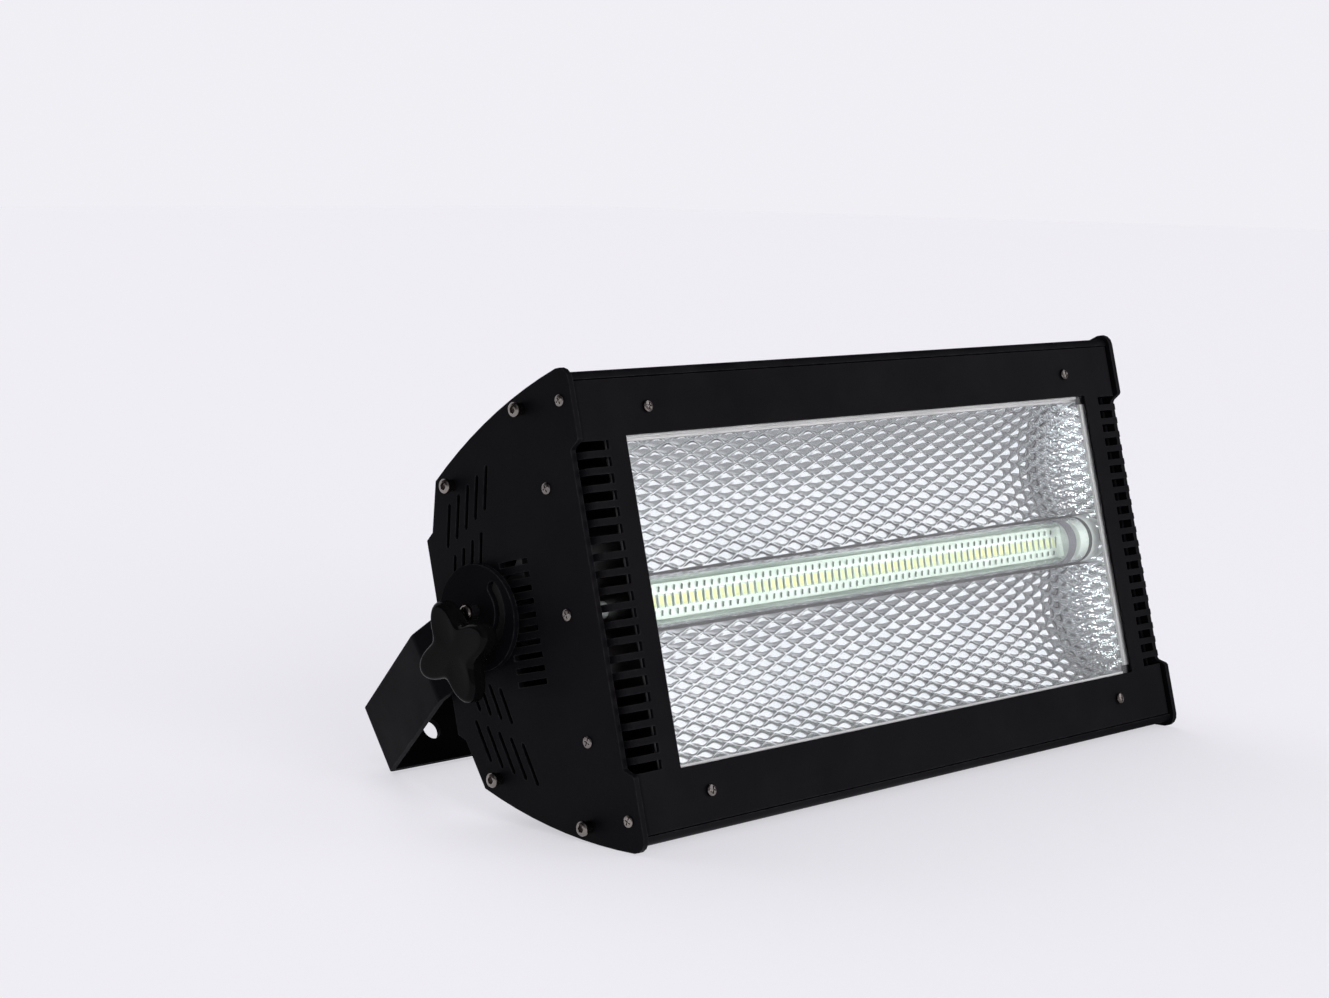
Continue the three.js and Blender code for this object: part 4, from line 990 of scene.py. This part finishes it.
@dataclass
class Innards(Assembly):
    """What can be glimpsed through the vents: fans, boards, the heat sink and the lamp's wires."""

    frame_ease: float = 0.25
    rotor_ease: float = 0.15
    wire_radius: float = 1.1
    red_route: tuple[Point, ...] = (
        (-190.0, 45.0, -20.0), (-200.0, 58.0, -42.0), (-204.0, 66.0, -58.0), (-202.0, 58.0, -74.0),
        (-190.0, 44.0, -80.0))
    black_route: tuple[Point, ...] = (
        (-190.0, 47.0, -14.0), (-198.0, 64.0, -36.0), (-201.0, 72.0, -54.0), (-198.0, 62.0, -70.0),
        (-186.0, 47.0, -76.0))

    def build(self) -> None:
        """Dresses the inner parts and adds the wires."""
        self.shop.dress("heat_sink", ALUMINIUM)
        self.shop.dress("power_supply", ALUMINIUM)
        self.shop.dress("control_board", GREEN_BOARD)
        for name in SIDES:
            self.shop.softened(f"{name}_fan_frame", SOCKET_PLASTIC, Slot.HOLDER, self.frame_ease)
            rotor = f"{name}_fan_rotor"
            self.shop.softened(rotor, SOCKET_PLASTIC, Slot.HOLDER, self.rotor_ease, rotor)
        red, black = (swept(smooth_path(route), self.wire_radius)
                      for route in (self.red_route, self.black_route))
        self.shop.place("red_lamp_wire", red, RED_WIRE, Slot.RUBBER)
        self.shop.place("black_lamp_wire", black, BLACK_WIRE, Slot.RUBBER)


@dataclass
class RearControls(Assembly):
    """The display, the menu buttons and the sockets on the rear panel."""

    button_count: int = 4
    ease: float = 0.3
    button_ease: float = 0.5

    def build(self) -> None:
        """Dresses the rear panel's fittings."""
        self.shop.softened("display_window", SMOKED, Slot.GLASS, self.ease)
        for node in ("mains_inlet", "fuse_holder", "dmx_in_socket", "dmx_out_socket"):
            self.shop.softened(node, SOCKET_PLASTIC, Slot.PLASTIC, self.ease)
        for name in (f"menu_button_{i + 1}" for i in range(self.button_count)):
            self.shop.softened(name, RUBBER, Slot.RUBBER, self.button_ease, name)


# Screws


@dataclass(frozen=True)
class Screw:
    """A screw with a driver recess, drawn along +Z with the underside of its head at zero."""

    head_radius: float
    head_height: float
    dome: float
    shank_radius: float
    shank_length: float
    recess: Recess
    recess_radius: float
    recess_depth: float
    spacer_radius: float = 0.0
    spacer_height: float = 0.0
    spacer_rim: float = 0.2
    rim: float = 0.15
    brim: float = 0.05
    crown: tuple[Pair, ...] = ((0.93, 0.6), (0.75, 0.2))
    mouth: tuple[Pair, ...] = ((1.08, 0.0), (1.0, 0.12))
    bottom_share: float = 0.85
    cross_ratio: float = 4.5

    def recess_reach(self, angle: float) -> float:
        """Finds how far the recess reaches from the middle.

        Args:
            angle: the direction, in radians.

        Returns:
            The distance.
        """
        if self.recess is Recess.HEXAGON:
            turn = (angle + math.pi / 6) % (math.pi / 3) - math.pi / 6
            return self.recess_radius * math.cos(math.pi / 6) / math.cos(turn)
        along, half = self.recess_radius, self.recess_radius / self.cross_ratio
        c, s = max(abs(math.cos(angle)), 1e-9), max(abs(math.sin(angle)), 1e-9)
        return max(min(along / c, half / s), min(half / c, along / s))

    def angles(self) -> list[float]:
        """Finds where the screw's rings have their points.

        Returns:
            The angles in radians.
        """
        corners = [math.atan2(1, self.cross_ratio), math.pi / 4, math.atan2(self.cross_ratio, 1)]
        if self.recess is Recess.HEXAGON:
            corners = [math.pi / 6, math.pi / 3]
        quarters = [q * math.pi / 2 + c for q in range(4) for c in corners]
        return sorted({round(a, 6) for a in [*even_angles(24), *quarters]})

    def mesh(self) -> Mesh:
        """Draws the screw.

        Returns:
            The closed mesh.
        """
        top, wide = self.head_height, self.head_radius
        profile = [(self.shank_radius, -self.shank_length), (self.shank_radius, -self.spacer_height)]
        if self.spacer_radius:
            foot, spacer, rim = -self.spacer_height, self.spacer_radius, self.spacer_rim
            profile += [(spacer - rim, foot), (spacer, foot + rim), (spacer, -rim), (spacer - rim, 0.0)]
        profile += [(wide - self.rim, 0.0), (wide, self.rim), (wide, top - self.dome - self.brim)]
        profile += [(share * wide, top - fall * self.dome) for share, fall in self.crown]
        angles = self.angles()
        rings = [ring(repeat(radius), angles, height) for radius, height in profile]
        for scale, depth in (*self.mouth, (self.bottom_share, self.recess_depth)):
            rings.append(ring([scale * self.recess_reach(a) for a in angles], angles, top - depth))
        return lofted(rings)


BEZEL_SCREW = Screw(2.9, 1.5, 0.7, 1.5, 11.0, Recess.CROSS, 1.75, 0.9)
PLATE_SCREW = Screw(2.75, 0.75, 0.3, 1.6, 5.0, Recess.CROSS, 1.7, 0.5)
CAP_SCREW = Screw(3.5, 2.3, 0.8, 2.0, 11.0, Recess.HEXAGON, 1.8, 1.5, 2.9, 3.4)
PIVOT_SCREW = Screw(3.7, 2.2, 0.8, 2.0, 24.0, Recess.HEXAGON, 1.8, 1.4)


@dataclass
class Fasteners(Assembly):
    """Every screw on the head, each turned its own way."""

    bezel_x: float = 163.5
    bezel_z: float = 88.5
    plate_x: float = 212.5
    gap: float = 0.3
    plate_gap: float = 0.05
    cap_places: tuple[Pair, ...] = ((30.8, 95.2), (84.6, 68.7))
    plate_places: tuple[Pair, ...] = (
        (6.0, 94.7), (6.0, -94.7), (23.3, 57.6), (23.3, -57.6), (23.3, 0.0))
    pivot_seat_x: float = 222.8
    turns: random.Random = field(default_factory=lambda: random.Random(11))

    def drive(self, name: str, screw: Screw, where: Matrix, *nodes: str) -> None:
        """Places a screw, turned by chance as a driver leaves it.

        Args:
            name: the piece's name.
            screw: the screw.
            where: what takes it to the row frame.
            nodes: the CAD nodes that it stands for.
        """
        mesh = screw.mesh()
        mesh.transform(Matrix.Rotation(self.turns.uniform(0.0, math.pi), 4, "Z"))
        self.shop.place(name, mesh, NICKEL, Slot.NICKEL, *nodes, where=where)

    def build(self) -> None:
        """Builds and dresses the screws."""
        shop = self.shop
        for i, (v, u) in enumerate(product((1, -1), (-1, 1)), 1):
            where = shop.forward(u * self.bezel_x, -self.gap, v * self.bezel_z)
            self.drive(f"bezel_screw_{i}_cross", BEZEL_SCREW, where, f"bezel_screw_{i}")
        seat = self.plate_x + self.gap + CAP_SCREW.spacer_height
        for name, side in SIDES.items():
            for i, ((y, z), way) in enumerate(product(self.cap_places, (1, -1)), 1):
                node = f"{name}_cap_screw_{i}"
                self.drive(f"{node}_hex", CAP_SCREW, shop.outward(side, seat, y, way * z), node)
            for i, place in enumerate(self.plate_places, 1):
                where = shop.outward(side, self.plate_x + self.plate_gap, *place)
                self.drive(f"{name}_plate_screw_{i}", PLATE_SCREW, where)
            where = shop.outward(side, self.pivot_seat_x, *shop.pivot[1:])
            self.drive(f"{name}_pivot_screw_hex", PIVOT_SCREW, where, f"{name}_pivot_screw")


# Yoke and its clamps


@dataclass
class StarKnob:
    """A four-lobed clamping knob, drawn along +Z from the yoke outward."""

    tip: float = 24.6
    valley: float = 14.2
    lobes: int = 4
    power: float = 1.15
    turn_deg: float = 76.0
    star_height: float = 9.5
    edge: float = 2.9
    edge_steps: int = 6
    hub_radius: float = 9.5
    hub_height: float = 4.9
    hub_ease: float = 0.5
    hub_flare: Pair = (0.6, 0.8)
    dish: float = 0.5
    dish_rings: tuple[Pair, ...] = ((0.85, 0.25), (0.6, 0.8), (0.35, 1.0), (0.12, 1.0))
    points: int = 96

    def star(self, inset: float, height: float) -> list[Point]:
        """Draws the star's outline.

        Args:
            inset: how far it is drawn in.
            height: its height along Z.

        Returns:
            Its points.
        """
        angles, reach = even_angles(self.points), self.tip - self.valley
        lobes = (((1 + math.cos(self.lobes * angle)) / 2) ** self.power for angle in angles)
        return ring((self.valley + reach * lobe - inset for lobe in lobes), angles, height)

    def mesh(self) -> Mesh:
        """Draws the knob.

        Returns:
            The closed mesh.
        """
        base, top, wide = self.hub_height, self.hub_height + self.star_height, self.hub_radius
        ease, (out, down) = self.hub_ease, self.hub_flare
        hub = [(wide - ease, 0.0), (wide, ease), (wide, base - down), (wide + out, base)]
        rings = [ring(repeat(radius), even_angles(self.points), height) for radius, height in hub]
        quarter = [math.pi / 2 * k / self.edge_steps for k in range(self.edge_steps + 1)]
        bends = [(self.edge * (1 - math.sin(a)), self.edge * (1 - math.cos(a))) for a in quarter]
        rings += [self.star(inset, base + rise) for inset, rise in bends]
        rings += [self.star(inset, top - fall) for fall, inset in bends]
        outline = self.star(self.edge, top)
        for share, sink in self.dish_rings:
            rings.append([(x * share, y * share, top - self.dish * sink) for x, y, _ in outline])
        return lofted(rings)


@dataclass
class YokeAndClamps(Assembly):
    """The yoke, its friction washers and the two clamps."""

    stud_radius: float = 17.0
    stud_deg: float = 278.0
    knob_x: float = 220.6
    knob: StarKnob = field(default_factory=StarKnob)

    def build(self) -> None:
        """Builds and dresses the yoke and clamps."""
        shop = self.shop
        shop.softened("yoke", YOKE_COAT, Slot.SHELL, body="yoke")
        turn, facing = radians((self.stud_deg, self.knob.turn_deg))
        cos, sin = math.cos(facing), math.sin(facing)
        y = shop.pivot[1] + self.stud_radius * math.cos(turn)
        z = shop.pivot[2] + self.stud_radius * math.sin(turn)
        for name, side in SIDES.items():
            shop.dress(f"{name}_friction_washer", RUBBER)
            shop.dress(f"{name}_pivot_sleeve", COAT)
            shop.dress(f"{name}_clamp_stud", STEEL)
            shop.softened(f"{name}_clamp_washer", STEEL, Slot.NICKEL, 0.25, f"{name}_clamp_washer")
            lobes = Matrix(((0.0, 0.0, side), (cos, -sin * side, 0.0), (sin, cos * side, 0.0))).to_4x4()
            shop.place(f"{name}_star_knob", self.knob.mesh(), KNOB_PLASTIC, Slot.KNOB, f"{name}_knob",
                       body=f"{name}_knob", where=shop.at(side * self.knob_x, y, z) @ lobes)


# Studio


@dataclass
class Studio(Assembly):
    """The pale floor, the soft light and the camera."""

    lens: float = 76.68
    sensor: float = 36.0
    clip_m: Pair = (0.05, 60.0)
    eye: Point = (-1099.8, -885.3, -19.7)
    right: Point = (0.68323855, -0.71173284, -0.16316083)
    down: Point = (-0.07603874, 0.1528834, -0.98531456)
    ahead: Point = (0.72622531, 0.68561143, 0.05033656)
    floor_half_m: float = 12.0
    floor_z_m: float = -0.0003
    backdrop: Colour = (0.875, 0.865, 0.91)
    floor_colour: Colour = (0.84, 0.83, 0.87)
    seen_floor_colour: Colour = (0.45, 0.445, 0.47)
    floor_glow: float = 0.62
    floor_roughness: float = 0.9
    floor_specular: float = 0.1
    lit_floor_m: Pair = (-0.1, 0.25)
    sky_strength: float = 1.15
    high_turn_deg: Point = (-35.0, 0.0, -20.0)
    high_strength: float = 1.0
    high_softness_deg: float = 50.0
    front_turn_deg: Point = (78.0, 0.0, -15.0)
    front_strength: float = 2.0
    front_softness_deg: float = 40.0
    mirror_strength: float = 1.4
    mirror_contrast: float = 1.9
    softbox_deg: tuple[float, float, float, float] = (26.0, 36.0, 62.0, 72.0)
    softbox_level: float = 0.95
    room_level: float = 0.42
    left_deg: Pair = (-105.0, -70.0)
    left_level: float = 0.14
    side_deg: Pair = (60.0, 72.0)
    side_heights: Pair = (0.3, 0.65)
    side_levels: Pair = (0.2, 0.16)
    rear_deg: Pair = (138.0, 156.0)
    rear_level: float = 0.8
    cap_heights: Pair = (0.76, 0.86)
    cap_level: float = 0.08

    def build(self) -> None:
        """Sets up the studio."""
        bpy.context.scene.view_settings.view_transform = "Standard"
        self.camera()
        self.floor()
        self.world()
        self.lamp("high_softbox", self.high_turn_deg, self.high_strength, self.high_softness_deg)
        self.lamp("front_softbox", self.front_turn_deg, self.front_strength, self.front_softness_deg)

    def camera(self) -> None:
        """Places the camera as the photograph was taken."""
        data = bpy.data.cameras.new("camera")
        data.lens, data.sensor_width = self.lens, self.sensor
        data.clip_start, data.clip_end = self.clip_m
        camera = shown("camera", data)
        turn = self.shop.head.to_3x3().normalized()
        columns = [turn @ Vector(self.right), turn @ -Vector(self.down), turn @ -Vector(self.ahead)]
        basis = Matrix(columns).transposed().to_4x4()
        camera.matrix_world = Matrix.Translation(self.shop.head @ Vector(self.eye)) @ basis
        bpy.context.scene.camera = camera

    def floor(self) -> None:
        """Lays the pale floor on which the light stands."""
        mesh = bmesh.new()
        bmesh.ops.create_grid(mesh, x_segments=8, y_segments=8, size=self.floor_half_m)
        floor = shown("pale_floor", mesh)
        floor.location.z = self.floor_z_m
        made, graph, shader = started("pale_floor_paper", self.floor_colour)
        path = graph.add("LightPath").outputs
        seen = graph.math("MAXIMUM", path["Is Camera Ray"], path["Is Glossy Ray"])
        seen = graph.math("MAXIMUM", seen, path["Is Transmission Ray"])
        mirrored = graph.math("MINIMUM", path["Glossy Depth"], 1.0)
        x = graph.add("SeparateXYZ", {0: graph.add("NewGeometry").outputs["Position"]}).outputs["X"]
        share = graph.between(mirrored, 1.0, graph.ramp(x, *self.lit_floor_m, 1.0, 0.0))
        glow = graph.math("MULTIPLY", graph.math("MULTIPLY", seen, share), self.floor_glow)
        graph.fill(shader.inputs, {
            "Base Color": graph.blend(seen, self.floor_colour, self.seen_floor_colour),
            "Emission Color": (*self.backdrop, 1.0), "Emission Strength": glow,
            "Roughness": self.floor_roughness, "Specular IOR Level": self.floor_specular})
        floor.data.materials.append(made)

    def world(self) -> None:
        """Makes the pale room: one colour to the camera, softly graded for everything else."""
        world = bpy.data.worlds.new("pale_room")
        bpy.context.scene.world = world
        world.use_nodes = True
        graph = Graph(world.node_tree)
        path = graph.add("LightPath").outputs
        mirrored = graph.math("MINIMUM", path["Glossy Depth"], 1.0)
        straight = graph.math("SUBTRACT", path["Is Transmission Ray"], mirrored)
        seen = graph.math("MAXIMUM", path["Is Camera Ray"], straight)
        way = graph.add("SeparateXYZ", {0: graph.add("TexCoord").outputs["Generated"]}).outputs
        ahead = graph.math("MULTIPLY", way["Y"], -1.0, False)
        turn = graph.math("ARCTAN2", way["X"], ahead, False)
        height = graph.math("ABSOLUTE", way["Z"])
        room = graph.ramp(turn, *radians(self.left_deg), self.left_level, self.room_level)
        side = graph.ramp(height, *self.side_heights, *self.side_levels)
        room = graph.between(graph.ramp(turn, *radians(self.side_deg)), room, side)
        rear = graph.ramp(graph.math("ABSOLUTE", turn, 0.0, False), *radians(self.rear_deg))
        room = graph.between(rear, room, self.rear_level)
        room = graph.between(graph.plateau(turn, radians(self.softbox_deg)), room, self.softbox_level)
        room = graph.between(graph.ramp(height, *self.cap_heights), room, self.cap_level)
        room = graph.math("POWER", room, graph.between(mirrored, 1.0, self.mirror_contrast))
        peak = graph.between(mirrored, self.sky_strength, self.mirror_strength)
        lit = graph.math("MULTIPLY", room, peak, False)
        graph.fill(graph.first("BACKGROUND").inputs, {
            "Color": (*self.backdrop, 1.0), "Strength": graph.between(seen, lit, 1.0)})

    def lamp(self, name: str, turn_deg: Point, strength: float, softness_deg: float) -> None:
        """Adds one broad soft lamp.

        Args:
            name: the lamp's name.
            turn_deg: how it is turned about X, Y and Z.
            strength: its strength.
            softness_deg: how wide it looks from the floor.
        """
        data = bpy.data.lights.new(name, "SUN")
        data.energy = strength
        data.angle = math.radians(softness_deg)
        lamp = shown(name, data)
        lamp.rotation_euler = radians(turn_deg)
        lamp.visible_glossy = False


def main() -> None:
    """Builds the studio and every sub-assembly in order."""
    logging.basicConfig(level=logging.INFO, format="%(name)s %(message)s")
    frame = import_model()
    shop = Workshop(frame, Effects())
    for assembly in (Studio, HeadShell, FacetedReflector, LampTube, Innards, RearControls, Fasteners,
                     YokeAndClamps):
        assembly(shop).build()
    bpy.context.view_layer.update()


if __name__ == "__main__":
    main()
